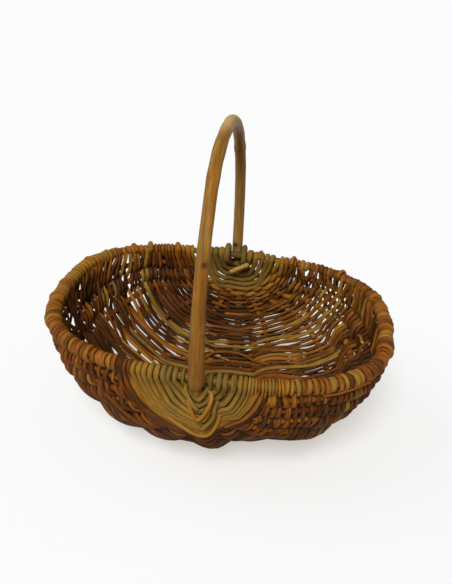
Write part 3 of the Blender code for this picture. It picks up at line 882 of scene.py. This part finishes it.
def weave_gaps(rng, q):
    """How wide the gaps beside each course are on each line, compared with each other."""
    gaps = np.empty((COURSES, LINES))
    for course in range(COURSES):
        waves = GAP_WAVES * wander(rng, np.arange(LINES), GAP_WAVE_STEP)
        gaps[course] = np.exp(waves + GAP_SPREAD * rng.uniform(-1, 1))
        gaps[course] *= 1.0 if rng.uniform() < OPEN_CHANCE else SHUT_GAP
        openness = [np.interp(q[course], *side) for side in OPENNESS]
        gaps[course] *= np.interp(np.arange(LINES), (KEEL - 2, KEEL + 2), openness)
    return gaps


def weave_tones(rng, q, from_ear):
    """Tones of the two rods that are joined in each course."""
    tones = np.empty((COURSES, 2))
    tone = ROD_TONES[0]
    for course in range(COURSES):
        fade = NEAR_TONE_FADE if q[course] < 0.5 else FAR_TONE_FADE
        ear = EAR_TONE_SHARE * math.exp(-from_ear[course] / fade)
        # Painted shade darkens the course by its q.
        painted_shade = np.interp(q[course], *PAINTED_SHADES)
        for joined in range(2):
            if rng.uniform() < NEW_TONE_CHANCE:
                tone = rng.choice(ROD_TONES, p=ROD_TONE_SHARES)
            own = tone - painted_shade + rng.normal(0, TONE_SPREAD)
            # Painted light on the joined rods of the back's right.
            if joined and JOINED_PAINTED_LIGHT_FROM < q[course] < JOINED_PAINTED_LIGHT_TO:
                own += JOINED_PAINTED_LIGHT
            tones[course, joined] = own * (1 - ear) + ear * rng.choice(EAR_TONES)
    return tones


def weave_plan(q):
    """Radii, sides, places, wraps and tones of all courses, and the extra wraps of each rim."""
    rng = np.random.default_rng(SEED)
    from_ear = np.minimum(q, 1 - q) * COURSES
    radii = THIN_ROD + (EAR_ROD - THIN_ROD) * np.exp(-from_ear / EAR_ROD_FADE)
    radii = radii * rng.uniform(*ROD_SIZES, COURSES)
    sides = weave_sides(rng, q)
    extras = []
    wraps = np.empty((COURSES, 2))
    places = np.empty((COURSES, LINES))
    for column, line in enumerate(RIMS):
        share, width, extra = rim_plan(rng, column)
        extras.append(extra)
        wrap = (np.arange(COURSES) + column) // 2
        wraps[:, column] = width[wrap]
        shift = np.where(sides[:, line] < 0, (1 - 2 * column) * INSIDE_SHIFT, 0)
        places[:, line] = share[wrap] + shift * width[wrap] / RIM_RUN
    gaps = weave_gaps(rng, q)
    for line in range(1, RIGHT_RIM):
        wide_gaps = np.zeros(COURSES)
        regular = spread_places(line, radii, gaps[:, line], wide_gaps, places)
        for gap_line, gap_share, size in WIDE_GAPS:
            course = np.abs(regular - gap_share).argmin()
            wide_gaps[course] += size * MM * max(1 - abs(gap_line - line), 0)
        places[:, line] = spread_places(line, radii, gaps[:, line], wide_gaps, places)
    return radii, sides, places, wraps, weave_tones(rng, q, from_ear), extras


def course_rows(rng, radius, sides, places, wraps, thickness):
    """One rod from its left tail to its right tail.

    Gives its places, outward directions and half sizes, how far it is a wrap, and the share of its way.
    """
    lines = np.arange(1, RIGHT_RIM)
    share = places[1:-1]
    outward = np.array([direction_at(OUTWARD, line, places[line]) for line in lines])
    foot = np.array([at(POINTS, line, places[line]) for line in lines])
    stick = np.where(lines == KEEL, keel_radius(share), rib_radius(share))
    crossing = foot + (sides[1:-1] * (stick + radius * CLOSENESS))[:, None] * outward
    outside = sides[LEFT_RIM] > 0
    turns = np.radians(np.linspace(*(OUTSIDE_TURN if outside else INSIDE_TURN), ARC_STEPS))
    arcs = []
    for column, line in enumerate(RIMS):
        lift = thickness / 2 * rng.uniform(*LIFT_RANGE)
        lean = (1 - 2 * column) * rng.uniform(*LEAN_RANGE) * wraps[column] / RIM_RUN if outside else 0.0
        points, radial = rim_arc(line, places[line], turns, lift, lean)
        if not outside:
            points -= radial * np.linspace(0, INSIDE_SINK, ARC_STEPS)[:, None] * thickness
        arcs.append((points, radial if outside else -radial))
    (left, left_normals), (right, right_normals) = arcs
    nodes = np.vstack([left[:1], crossing, right[:1]])
    tangents = np.empty_like(nodes)
    tangents[0] = unit(left[0] - left[1])
    tangents[-1] = unit(right[1] - right[0])
    for index in range(1, len(nodes) - 1):
        way = nodes[index + 1] - nodes[index - 1]
        tangents[index] = unit(way - outward[index - 1] * (way @ outward[index - 1]))
    wall = spline(nodes, tangents, [WALL_STEPS] * (len(nodes) - 1))
    steps = np.arange(len(wall))
    node_normals = np.vstack([left_normals[:1], outward, right_normals[:1]])
    wall_normals = interpolate(steps, np.arange(len(nodes)) * WALL_STEPS, node_normals)
    centres = np.vstack([left[::-1], wall[1:-1], right])
    normals = np.vstack([left_normals[::-1], wall_normals[1:-1], right_normals])
    blend = smooth((steps - 1) / (WALL_STEPS - 1))
    blend = np.minimum(blend, blend[::-1])[1:-1]
    position = np.linspace(0, 1, len(wall))[1:-1]
    half_wraps = wraps * WRAP_HALF_SHARE if outside else (radius + wraps * WRAP_HALF_SHARE) / 2
    half_thick = thickness / 2 if outside else radius
    wide = np.where(position < 0.5, *half_wraps) * (1 - blend) + radius * blend
    wide = np.concatenate([np.full(ARC_STEPS, half_wraps[0]), wide, np.full(ARC_STEPS, half_wraps[1])])
    thick = np.pad(half_thick * (1 - blend) + radius * blend, ARC_STEPS, constant_values=half_thick)
    tail = np.ones(len(centres))
    tail[:3] = TAIL_SIZES
    tail[-3:] = TAIL_SIZES[::-1]
    # Towards the inside of each turn the rim's tone and wear give way to the rod's own, mostly darker tone,
    # and rods that come from inside take little of them: painted shade inside the rim.
    on_rim = np.linspace(1.0, 0.35, ARC_STEPS) if outside else np.full(ARC_STEPS, 0.3)
    beside = np.clip(1 - np.arange(len(blend)) / 4, 0, 1) * (1.0 if outside else 0.3)
    rimness = np.concatenate([on_rim[::-1], np.maximum(beside, beside[::-1]), on_rim])
    across = np.concatenate([np.zeros(ARC_STEPS), position, np.ones(ARC_STEPS)])
    return centres, normals, thick * tail, wide * tail, rimness, across


def add_course(band, course, q, radius, sides, places, wraps, tones, rim_tones, rim_wear_and_light):
    """A course in its band, with the tones, wear and painted light of its wraps where it turns round the
    rims.
    """
    rng = np.random.default_rng(SEED * 1000 + course)
    thickness = np.interp(q, *WRAP_THICKNESS) * rng.uniform(*WRAP_THICKNESS_RANGE)
    rows = course_rows(rng, radius, sides, places, wraps, thickness)
    centres, normals, thick, wide, rimness, across = rows
    taper = 1 + ROD_TAPER * (across - 0.5) * rng.choice([-1, 1])
    steps = np.arange(len(centres))
    waver = np.stack([wander(rng, steps, WAVER_STEP, size) for size in WAVER_SIZES], axis=1)
    centres = centres + waver * (1 - rimness)[:, None]
    on_right = (across > 0.5).astype(int)
    turn = (course + on_right) // 2, on_right
    # Painted shade towards the right rim.
    tone = tones[(across > rng.uniform(*JOIN_RANGE)).astype(int)] - PAINTED_SHADE_SLOPE * (across - 0.5)
    wear_and_painted_light = np.full(len(centres), ROD_WEAR)
    if q < 0.5:
        # Painted light on the front's sides.
        tone += SIDES_PAINTED_LIGHT * smooth((np.abs(across - 0.5) - SIDES_PAINTED_LIGHT_FROM) / SIDES_PAINTED_LIGHT_OVER)
    # The right of the back is lightened: painted light.
    if q > BACK_PAINTED_LIGHT_FROM:
        wear_and_painted_light[across > RIGHT_PAINTED_LIGHT_FROM] += BACK_PAINTED_LIGHT
    tone = tone * (1 - rimness) + rim_tones[turn] * rimness
    wear_and_painted_light = wear_and_painted_light * (1 - rimness) + rim_wear_and_light[turn] * rimness
    flat = FLATTENED * (1 - rimness)
    band.add(centres, normals, thick * taper * (1 - flat), wide * taper * (1 + flat), rng, tone, wear_and_painted_light,
             slants=CUT_SLANTS)


# Thick rod ends that stand up from the rims: line, share, how proud in millimetres.
RIM_NUBS = (
    (LEFT_RIM, 0.445, 1.8), (LEFT_RIM, 0.7475, 1.6), (LEFT_RIM, 0.7875, 2.4), (LEFT_RIM, 0.8525, 1.6),
    (LEFT_RIM, 0.62, 1.4), (RIGHT_RIM, 0.4075, 3.0), (RIGHT_RIM, 0.495, 1.4), (RIGHT_RIM, 0.7425, 2.0),
    (RIGHT_RIM, 0.865, 1.6), (RIGHT_RIM, 0.945, 1.8))
NUB_TURN = (-10, 175)
NUB_LIFT = 0.0030
NUB_LEAN = 0.004
NUB_RADII = (0.0020, 0.0026)
# A thin rod that climbs over the right rim's wraps: share, angle round the rim in degrees.
CLIMBING_ROD = ((0.222, -56), (0.234, -45), (0.248, -34), (0.264, -23), (0.285, -14), (0.303, -10),
                (0.316, -16))
CLIMBING_LIFT = 0.0060
CLIMBING_RADIUS = 0.0012
CLIMBING_STEPS = 4
LOOSE_STEP = 0.002
# Rods lying loose inside the bowl: spots (line, share, outward in millimetres), radius, tone and wear.
INNER_RODS = (
    (((4.9, 0.640, -5.0), (5.35, 0.652, -8.8), (5.55, 0.674, -9.2), (6.0, 0.682, -9.8), (6.3, 0.666, -9.2),
      (6.6, 0.642, -8.8), (7.0, 0.628, -5.0)), 1.7, 0.42, 0.1),
    (((9.9, 0.60, -5.0), (10.15, 0.582, -8.4), (10.25, 0.550, -9.6)), 1.8, 0.80, 0.4),
    (((5.55, 0.664, -8.4), (5.70, 0.657, -9.8), (5.86, 0.650, -11.0)), 1.4, 0.85, 0.6))


def band_at(bands, q):
    return bands[min(int(q * BAND_COUNT), BAND_COUNT - 1)]


def add_extra_wraps(bands, rng, column, wraps):
    near, far = weave_span(RIMS[column])
    for share, width in wraps:
        q = (share - near) / (far - near)
        thickness = np.interp(q, *WRAP_THICKNESS) * rng.uniform(*WRAP_THICKNESS_RANGE)
        turns = np.radians(np.linspace(*EXTRA_TURN, 2 * ARC_STEPS))
        points, radial = rim_arc(RIMS[column], share, turns, thickness / 2, EXTRA_LEAN * width / RIM_RUN)
        tone = np.interp(q, *WRAP_TONES[column]) + rng.normal(EXTRA_TONE_SHIFT, WRAP_TONE_SPREADS[0])
        tone = np.clip(tone, DARKEST_WRAP, 1)
        band_at(bands, q).add(points, radial, thickness / 2, width * EXTRA_HALF_SHARE, rng, tone,
                              rng.uniform(0, 0.5), slants=CUT_SLANTS)


def add_short_rod(bundle, rng, rows, counts, radius, tone, wear_and_painted_light, slant=0.9, lumps=0.06, pale=False):
    """A short rod through rows of a place and an outward direction, with counts of steps between them."""
    rows = np.array(rows)
    centres = spline(rows[:, :3], unit(np.gradient(rows[:, :3], axis=0)), counts)
    normals = unit(interpolate(np.arange(len(centres)), np.cumsum([0] + counts), rows[:, 3:]))
    bundle.add(centres, normals, radius, radius, rng, tone, wear_and_painted_light, slants=(slant, -slant), lumps=lumps,
               pale=pale)


def add_rim_details(bands, rng):
    turns = np.radians(np.linspace(*NUB_TURN, ARC_STEPS))
    bulge = np.sin(np.linspace(0, math.pi, ARC_STEPS))[:, None]
    for line, share, proud in RIM_NUBS:
        points, radial = rim_arc(line, share, turns, NUB_LIFT + proud * MM * bulge, NUB_LEAN)
        band_at(bands, share).add(points, radial, *NUB_RADII, rng, 0.5, 0.8, slants=(0.8, -0.8))
    rows = [np.hstack(rim_arc(RIGHT_RIM, share, np.radians([angle]), CLIMBING_LIFT, 0.0))[0]
            for share, angle in CLIMBING_ROD]
    add_short_rod(band_at(bands, CLIMBING_ROD[2][0]), rng, rows, [CLIMBING_STEPS] * (len(rows) - 1),
                  CLIMBING_RADIUS, 0.36, 0.4, slant=0.8, lumps=0.05)


def loose_rod(bundle, rng, spots, radius, tone, wear_and_painted_light, pale=False):
    """A short rod that lies on the weave: spots are (line, share, outward in millimetres)."""
    rows = []
    for line, share, lift in spots:
        point, way = surface(line, share)
        rows.append(np.concatenate([point + lift * MM * way, way if lift > 0 else -way]))
    chords = np.linalg.norm(np.diff(np.array(rows)[:, :3], axis=0), axis=1)
    counts = [max(int(chord / LOOSE_STEP), 3) for chord in chords]
    add_short_rod(bundle, rng, rows, counts, radius * MM, tone, wear_and_painted_light, pale=pale)


def build_weave():
    q = middles(COURSES)
    *plan, extras = weave_plan(q)
    bands = [Bundle() for _ in range(BAND_COUNT)]
    rng = np.random.default_rng(SEED + 3)
    usual = np.stack([np.interp(middles(TURNS), *tones) for tones in WRAP_TONES], axis=-1)
    rim_tones = usual + rng.normal(WRAP_TONE_SHIFT, WRAP_TONE_SPREADS, (TURNS, 2))
    rim_tones = np.clip(rim_tones, DARKEST_WRAP, 1)
    rim_wear_and_light = rng.uniform(*WRAP_WEARS, (TURNS, 2))
    # The left rim's middle wraps are lightened: painted light.
    rim_wear_and_light[TURNS // 4:TURNS * 3 // 4, 0] += LEFT_RIM_PAINTED_LIGHT
    for course, values in enumerate(zip(q, *plan)):
        add_course(band_at(bands, q[course]), course, *values, rim_tones, rim_wear_and_light)
    for column, wraps in enumerate(extras):
        add_extra_wraps(bands, rng, column, wraps)
    add_rim_details(bands, rng)
    for spots, radius, tone, wear_and_painted_light in INNER_RODS:
        loose_rod(band_at(bands, spots[0][1]), rng, spots, radius, tone, wear_and_painted_light)
    for number, bundle in enumerate(bands, 1):
        slot = "red_band_willow" if number % 3 == 2 else "band_willow"
        bundle.make(f"weave_rods_{number:02d}", (BARK, CUT), slot, f"weave_band_{number:02d}")


# Ear lashings

EAR_PIECES = 3
EAR_SIDES = 12
EAR_STEP = 0.003
NEAR_EAR_FLAT = 0.026
FAR_EAR_FLAT = 0.034
EAR_DROP = 0.005
EAR_TURN = (-14, 200)
EAR_TURN_STEPS = 13
FAN_ANGLES = np.radians(np.linspace(0, 90, KEEL + 1))
# Nearer to the crossing than this, an arm hasn't left the rim or the keel.
ARM_BELOW_RIM = 0.0085
ARM_BESIDE_KEEL = 0.0035
# How far the ribs' tips push the lower arms out, in millimetres on the lines from the rim to the keel, and at
# what distance down the keel this begins.
KINKS = (0.0, 0.0, 1.2, 4.2, 1.8, 0.6, 0.0)
KINKED_FROM = 0.022
KINKED_OVER = 0.02
# How strongly the curve holds its direction on the arms and rims, and outside and inside the keel.
ARM_PULL = 0.7
KEEL_PULLS = (0.45, 0.8)
NARROWEST_ARM = 0.0012
NEAR_WIDEST_ARM = 0.0029
FAR_WIDEST_ARM = 0.0038
NEAR_TONES = (0.97, 0.94, 0.91, 0.88, 0.82)
NEAR_LAST_TONES = (0.95, 0.90, 0.84, 0.78)
FAR_TONES = (1.0, 0.97, 0.94, 0.90)
NEAR_FIRST_TURNS = 6

# Each turn of an ear's lashing in millimetres: its place down the keel, its place and width on the left rim
# and on the right rim, and how thick it stands on the rims.
NEAR_TURNS = (
    (11.0, 17.8, 4.0, 11.0, 4.8, 4.6), (18.0, 26.1, 5.8, 19.1, 5.9, 4.8), (26.0, 32.0, 6.0, 25.9, 6.2, 4.8),
    (34.0, 38.3, 6.4, 34.4, 6.8, 4.6), (41.0, 45.2, 6.4, 40.9, 5.2, 4.4), (46.2, 51.8, 6.4, 46.1, 4.6, 4.2),
    (50.0, 58.2, 6.2, 50.4, 3.6, 3.8), (53.0, 64.4, 6.2, 53.6, 3.2, 3.4), (55.8, 70.4, 5.6, 56.8, 3.2, 3.2))
FAR_TURNS = (
    (16.5, 14.2, 8.8, 8.6, 8.0, 11.5), (24.5, 22.6, 8.0, 17.4, 8.4, 5.4), (32.5, 30.4, 7.6, 25.8, 8.0, 4.2),
    (39.5, 37.8, 7.0, 33.8, 7.6, 3.8), (46.4, 44.8, 6.4, 41.4, 7.2, 3.6), (53.2, 51.0, 6.2, 48.6, 6.6, 3.4))

# Loose ends over the near ear, such as the golden V below the handle's foot: spots (line, distance from the
# crossing and outward, in millimetres), radius, tone and wear.
NEAR_TIPS = (
    (((7.5, 11.0, 10.2), (7.1, 14.7, 12.6), (6.7, 21.5, 13.6), (6.2, 29.0, 14.4), (5.8, 31.4, 14.4),
      (5.4, 28.6, 13.8), (4.85, 21.5, 12.4), (4.3, 14.0, 9.6)), 2.2, 0.66, 0.9),
    (((2.4, 14.0, 8.2), (3.4, 12.5, 10.6), (4.45, 12.5, 12.0), (5.1, 15.0, 13.4), (5.9, 17.5, 14.4)),
     2.0, 0.92, 0.5),
    (((8.6, 30.0, 7.0), (7.75, 29.8, 9.6), (6.9, 37.0, 12.4), (6.1, 46.9, 13.6)), 2.3, 0.95, 0.4),
    (((3.0, 70.0, 4.0), (3.7, 62.0, 8.0), (4.6, 57.0, 10.0), (5.5, 58.5, 12.4), (6.2, 60.4, 12.8),
      (6.6, 57.2, 11.4), (7.2, 49.5, 8.6), (7.7, 46.0, 5.0)), 2.1, 0.72, 0.7),
    (((7.4, 20.0, 11.0), (6.7, 29.5, 12.6), (6.3, 36.0, 13.2)), 1.7, 0.48, 0.3))
# The cut rod end on the far ear: its spots as for the inner rods.
FAR_TIP = ((3.55, 0.952, -14.6), (10.4, 0.971, -15.0))
FAR_TIP_RADIUS = 3.3


def mirrored(share, far):
    return 1 - share if far else share


def outer_trace(out, down):
    """How far from the hoops' crossing a rod meets each line, from the rim to the keel, on the outside."""
    part = np.arange(KEEL + 1) / KEEL
    return (out / RIM_RUN * (1 - part) + down / KEEL_LENGTH * part) * LINE_RUNS[:KEEL + 1]


def inner_trace(out, down, flat):
    """The same on the inside: a short drop from the rim, a slant, and a flat run under the crossing."""
    corners = np.array([(out, 0.0), (out, EAR_DROP), (flat, down * 0.97), (0.0, down)])
    t = np.linspace(0, 1, 40)[:, None]
    xs, ys = np.vstack([start + (end - start) * t for start, end in zip(corners, corners[1:])]).T
    return np.interp(FAN_ANGLES, np.maximum.accumulate(np.arctan2(ys, xs)), np.hypot(xs, ys))


def ear_face(far, right, out, down, radius, inside):
    """Places of a slanting arm from the keel to the rim, their directions, and how near the keel each is."""
    flat = min(FAR_EAR_FLAT if far else NEAR_EAR_FLAT, out * 0.8)
    trace = inner_trace(out, down, flat) if inside else outer_trace(out, down)
    rows, normals, parts = [], [], []
    for step in range(KEEL - 1, 0, -1):
        beside = trace[step] * math.cos(FAN_ANGLES[step])
        below = trace[step] * math.sin(FAN_ANGLES[step])
        if below < ARM_BELOW_RIM or beside < ARM_BESIDE_KEEL:
            continue
        line = RIGHT_RIM - step if right else step
        share = mirrored(trace[step] / LINE_RUNS[line], far)
        rim_clear = max((RIM_NEAR_RADIUS + radius) ** 2 - below**2, 0) ** 0.5
        keel_clear = max((float(keel_radius(share)) + radius) ** 2 - beside**2, 0) ** 0.5
        offset = max(rim_clear, keel_clear, radius + RIB_TIP_RADIUS)
        if not inside:
            offset += KINKS[step] * MM * float(smooth((down - KINKED_FROM) / KINKED_OVER))
        way = direction_at(OUTWARD, line, share) * (-1 if inside else 1)
        rows.append(at(POINTS, line, share) + offset * way)
        normals.append(way)
        parts.append(step / KEEL)
    return np.array(rows).reshape(-1, 3), np.array(normals).reshape(-1, 3), np.array(parts)


def ear_loop(rng, bundle, far, widths, outs, thickness, down, keel_width, radius, tone):
    """One lashing rod: a closed loop over both rims, outside the keel and inside it."""
    turns = np.radians(np.linspace(*EAR_TURN, EAR_TURN_STEPS))
    rim_arcs = []
    for line, out, width in zip(RIMS, outs, widths):
        share = mirrored(out / RIM_RUN, far)
        lean = rng.normal(0, 0.12) * width / RIM_RUN
        rim_arcs.append(rim_arc(line, share, turns, thickness / 2, lean))
    share = mirrored(down / KEEL_LENGTH, far)
    keel_way = direction_at(OUTWARD, KEEL, share)
    keel_reach = float(keel_radius(share)) + radius
    keel_half = min(keel_width * 0.45, NEAR_WIDEST_ARM)
    parts = []

    def put(points, directions, half_thick, half_wide, strength=ARM_PULL, backward=False):
        sizes = [np.broadcast_to(value, len(points)) for value in (half_thick, half_wide, strength)]
        rows = np.column_stack([points, directions, *sizes])
        parts.append(rows[::-1] if backward else rows)

    def put_arm(column, inside, backward):
        points, directions, steps = ear_face(far, column == 1, outs[column], down, radius, inside)
        room = widths[column] * (1 - steps) + keel_width * steps
        wide = np.clip(room * (0.45 if inside == far else 0.38), NARROWEST_ARM,
                       FAR_WIDEST_ARM if far else NEAR_WIDEST_ARM)
        put(points, directions, radius, wide, backward=backward)

    # From outside the keel to the right rim and inside the keel, and then by the left rim back.
    for column, inside in ((1, False), (0, True)):
        way = (-1 if inside else 1) * keel_way[None]
        put(at(POINTS, KEEL, share) + keel_reach * way, way, radius * 0.9, keel_half, KEEL_PULLS[inside])
        put_arm(column, inside, False)
        put(*rim_arcs[column], thickness / 2, widths[column] * (0.485 if far else 0.455), backward=inside)
        put_arm(column, not inside, True)
    rows = np.vstack(parts)
    tangents = loop_ways(rows[:, :3]) * rows[:, 8:]
    fine = []
    for index, row in enumerate(rows):
        after = (index + 1) % len(rows)
        chord = np.linalg.norm(rows[after, :3] - row[:3])
        steps = max(int(round(chord / EAR_STEP)), 1)
        t = np.linspace(0, 1, steps, endpoint=False)[:, None]
        place = hermite(row[:3], rows[after, :3], tangents[index] * chord, tangents[after] * chord, t)
        fine.append(np.hstack([place, row[3:8] * (1 - t) + rows[after, 3:8] * t]))
    fine = np.vstack(fine)
    bundle.add(fine[:, :3], unit(fine[:, 3:6]), fine[:, 6], fine[:, 7], rng, tone,
               rng.uniform(0.05, 0.6), sides=EAR_SIDES, closed=True, lumps=0.04)


def near_spots(spots):
    """Spots with their distances from the near crossing in millimetres made into shares."""
    return [(line, distance * MM / np.interp(line, range(LINES), LINE_RUNS), lift)
            for line, distance, lift in spots]


def build_ears():
    for far, name, turns, firsts in ((False, "near", NEAR_TURNS, 0), (True, "far", FAR_TURNS, 100)):
        bundles = [Bundle() for _ in range(EAR_PIECES)]
        keel_widths = np.gradient([turn[0] for turn in turns])
        for number, (down, left, left_width, right, right_width, thick) in enumerate(turns):
            rng = np.random.default_rng(SEED * 7 + number + firsts)
            tone = rng.choice(FAR_TONES if far else NEAR_TONES)
            if not far and number >= NEAR_FIRST_TURNS:
                tone = rng.choice(NEAR_LAST_TONES)
            ear_loop(rng, bundles[number * EAR_PIECES // len(turns)], far,
                     np.array([left_width, right_width]) * MM, np.array([left, right]) * MM, thick * MM,
                     down * MM, keel_widths[number] * MM, EAR_ROD * rng.uniform(0.9, 1.08), tone)
        rng = np.random.default_rng(SEED + 50 + firsts)
        if far:
            loose_rod(bundles[0], rng, FAR_TIP, FAR_TIP_RADIUS, 0.8, 1.0, True)
        else:
            for spots, radius, tone, wear_and_painted_light in NEAR_TIPS:
                loose_rod(bundles[1], rng, near_spots(spots), radius, tone, wear_and_painted_light)
        for number, bundle in enumerate(bundles, 1):
            bundle.make(f"{name}_ear_rods_{number}", (EAR_BARK, CUT), "ear_willow",
                        f"{name}_ear_wrap_{number}")


# Floor, light and camera

FLOOR_HALF = 12.0
FLOOR_GAP = 0.0004
FLOOR_GREY = 0.45
# What the camera sees of the open floor is its glow and the lamps' light on it, together near white.
FLOOR_GLOW = (0.52, 0.485, 0.43)
FLOOR_LIGHT = 1.03
NEAR_WHITE = 0.965
WORLD_LIGHT = 0.25
# The lamps: name, strength, softness in degrees, and the way they shine.
LAMPS = (("soft_sun", 2.85, 24, (0.10, 0.85, -1.0)), ("left_light", 0.70, 60, (1.0, 0.1, -0.6)))

# The photograph's viewpoint: angles, distance in half rim lengths, and pixels of the 452 x 584 frame.
VIEW_AZIMUTH = 0.1089
VIEW_ELEVATION = 0.5293
VIEW_ROLL = 0.0777
VIEW_DISTANCE = 4.3292
FOCAL_PIXELS = 700
FRAME_HEIGHT = 584
SENSOR = 36
SHIFT_RIGHT = 3.85
SHIFT_UP = 15.66


def build_floor():
    mesh = bpy.data.meshes.new("floor")
    corners = [(x * FLOOR_HALF, y * FLOOR_HALF, 0) for x, y in ((-1, -1), (1, -1), (1, 1), (-1, 1))]
    mesh.from_pydata(corners, [], [(0, 1, 2, 3)])
    floor = bpy.data.objects.new("floor", mesh)
    floor.location.z = -FLOOR_GAP
    bpy.context.scene.collection.objects.link(floor)
    material = bpy.data.materials.new("floor_white")
    material.use_nodes = True
    tree = material.node_tree
    tree.nodes.clear()
    path = add_node(tree, "ShaderNodeLightPath").outputs
    inputs = {0: path["Is Camera Ray"], 1: path["Is Glossy Ray"]}
    seen = add_node(tree, "ShaderNodeMath", inputs, operation="MAXIMUM").outputs[0]
    open_floor = (*((NEAR_WHITE - glow) / FLOOR_LIGHT for glow in FLOOR_GLOW), 1)
    inputs = {0: seen, 6: (FLOOR_GREY, FLOOR_GREY, FLOOR_GREY, 1), 7: open_floor}
    shade = add_node(tree, "ShaderNodeMix", inputs, data_type="RGBA").outputs[2]
    diffuse = add_node(tree, "ShaderNodeBsdfDiffuse", {"Color": shade}).outputs[0]
    glow = add_node(tree, "ShaderNodeEmission", {"Color": (*FLOOR_GLOW, 1), "Strength": seen}).outputs[0]
    both = add_node(tree, "ShaderNodeAddShader", {0: diffuse, 1: glow}).outputs[0]
    add_node(tree, "ShaderNodeOutputMaterial", {"Surface": both})
    mesh.materials.append(material)


def build_world():
    world = bpy.data.worlds.new("studio")
    bpy.context.scene.world = world
    world.use_nodes = True
    tree = world.node_tree
    background = tree.nodes["Background"]
    background.inputs["Color"].default_value = (1, 1, 1, 1)
    seen = add_node(tree, "ShaderNodeLightPath").outputs["Is Camera Ray"]
    inputs = {0: seen, 1: NEAR_WHITE - WORLD_LIGHT, 2: WORLD_LIGHT}
    strength = add_node(tree, "ShaderNodeMath", inputs, operation="MULTIPLY_ADD").outputs[0]
    tree.links.new(strength, background.inputs["Strength"])


def build_lights():
    for name, energy, softness, way in LAMPS:
        lamp = bpy.data.lights.new(name, "SUN")
        lamp.energy = energy
        lamp.angle = math.radians(softness)
        thing = bpy.data.objects.new(name, lamp)
        thing.rotation_euler = Vector(way).to_track_quat("-Z", "Y").to_euler()
        bpy.context.scene.collection.objects.link(thing)


def build_camera():
    camera = bpy.data.objects.new("camera", bpy.data.cameras.new("camera"))
    turn = Matrix.Rotation(VIEW_AZIMUTH, 4, "Z") @ Matrix.Rotation(math.pi / 2 - VIEW_ELEVATION, 4, "X")
    away = Matrix.Translation((0, 0, VIEW_DISTANCE * RIM_HALF_LENGTH))
    camera.matrix_world = Matrix.Translation(RIM_MIDDLE) @ turn @ Matrix.Rotation(VIEW_ROLL, 4, "Z") @ away
    camera.data.sensor_width = SENSOR
    camera.data.lens = FOCAL_PIXELS / FRAME_HEIGHT * SENSOR
    camera.data.shift_x = SHIFT_RIGHT / FRAME_HEIGHT
    camera.data.shift_y = SHIFT_UP / FRAME_HEIGHT
    camera.data.clip_start = 0.01
    bpy.context.scene.collection.objects.link(camera)
    bpy.context.scene.camera = camera


build_rim()
build_ribs()
build_handle()
build_weave()
build_ears()
build_floor()
build_world()
build_lights()
build_camera()
bpy.context.scene.view_settings.view_transform = "Standard"
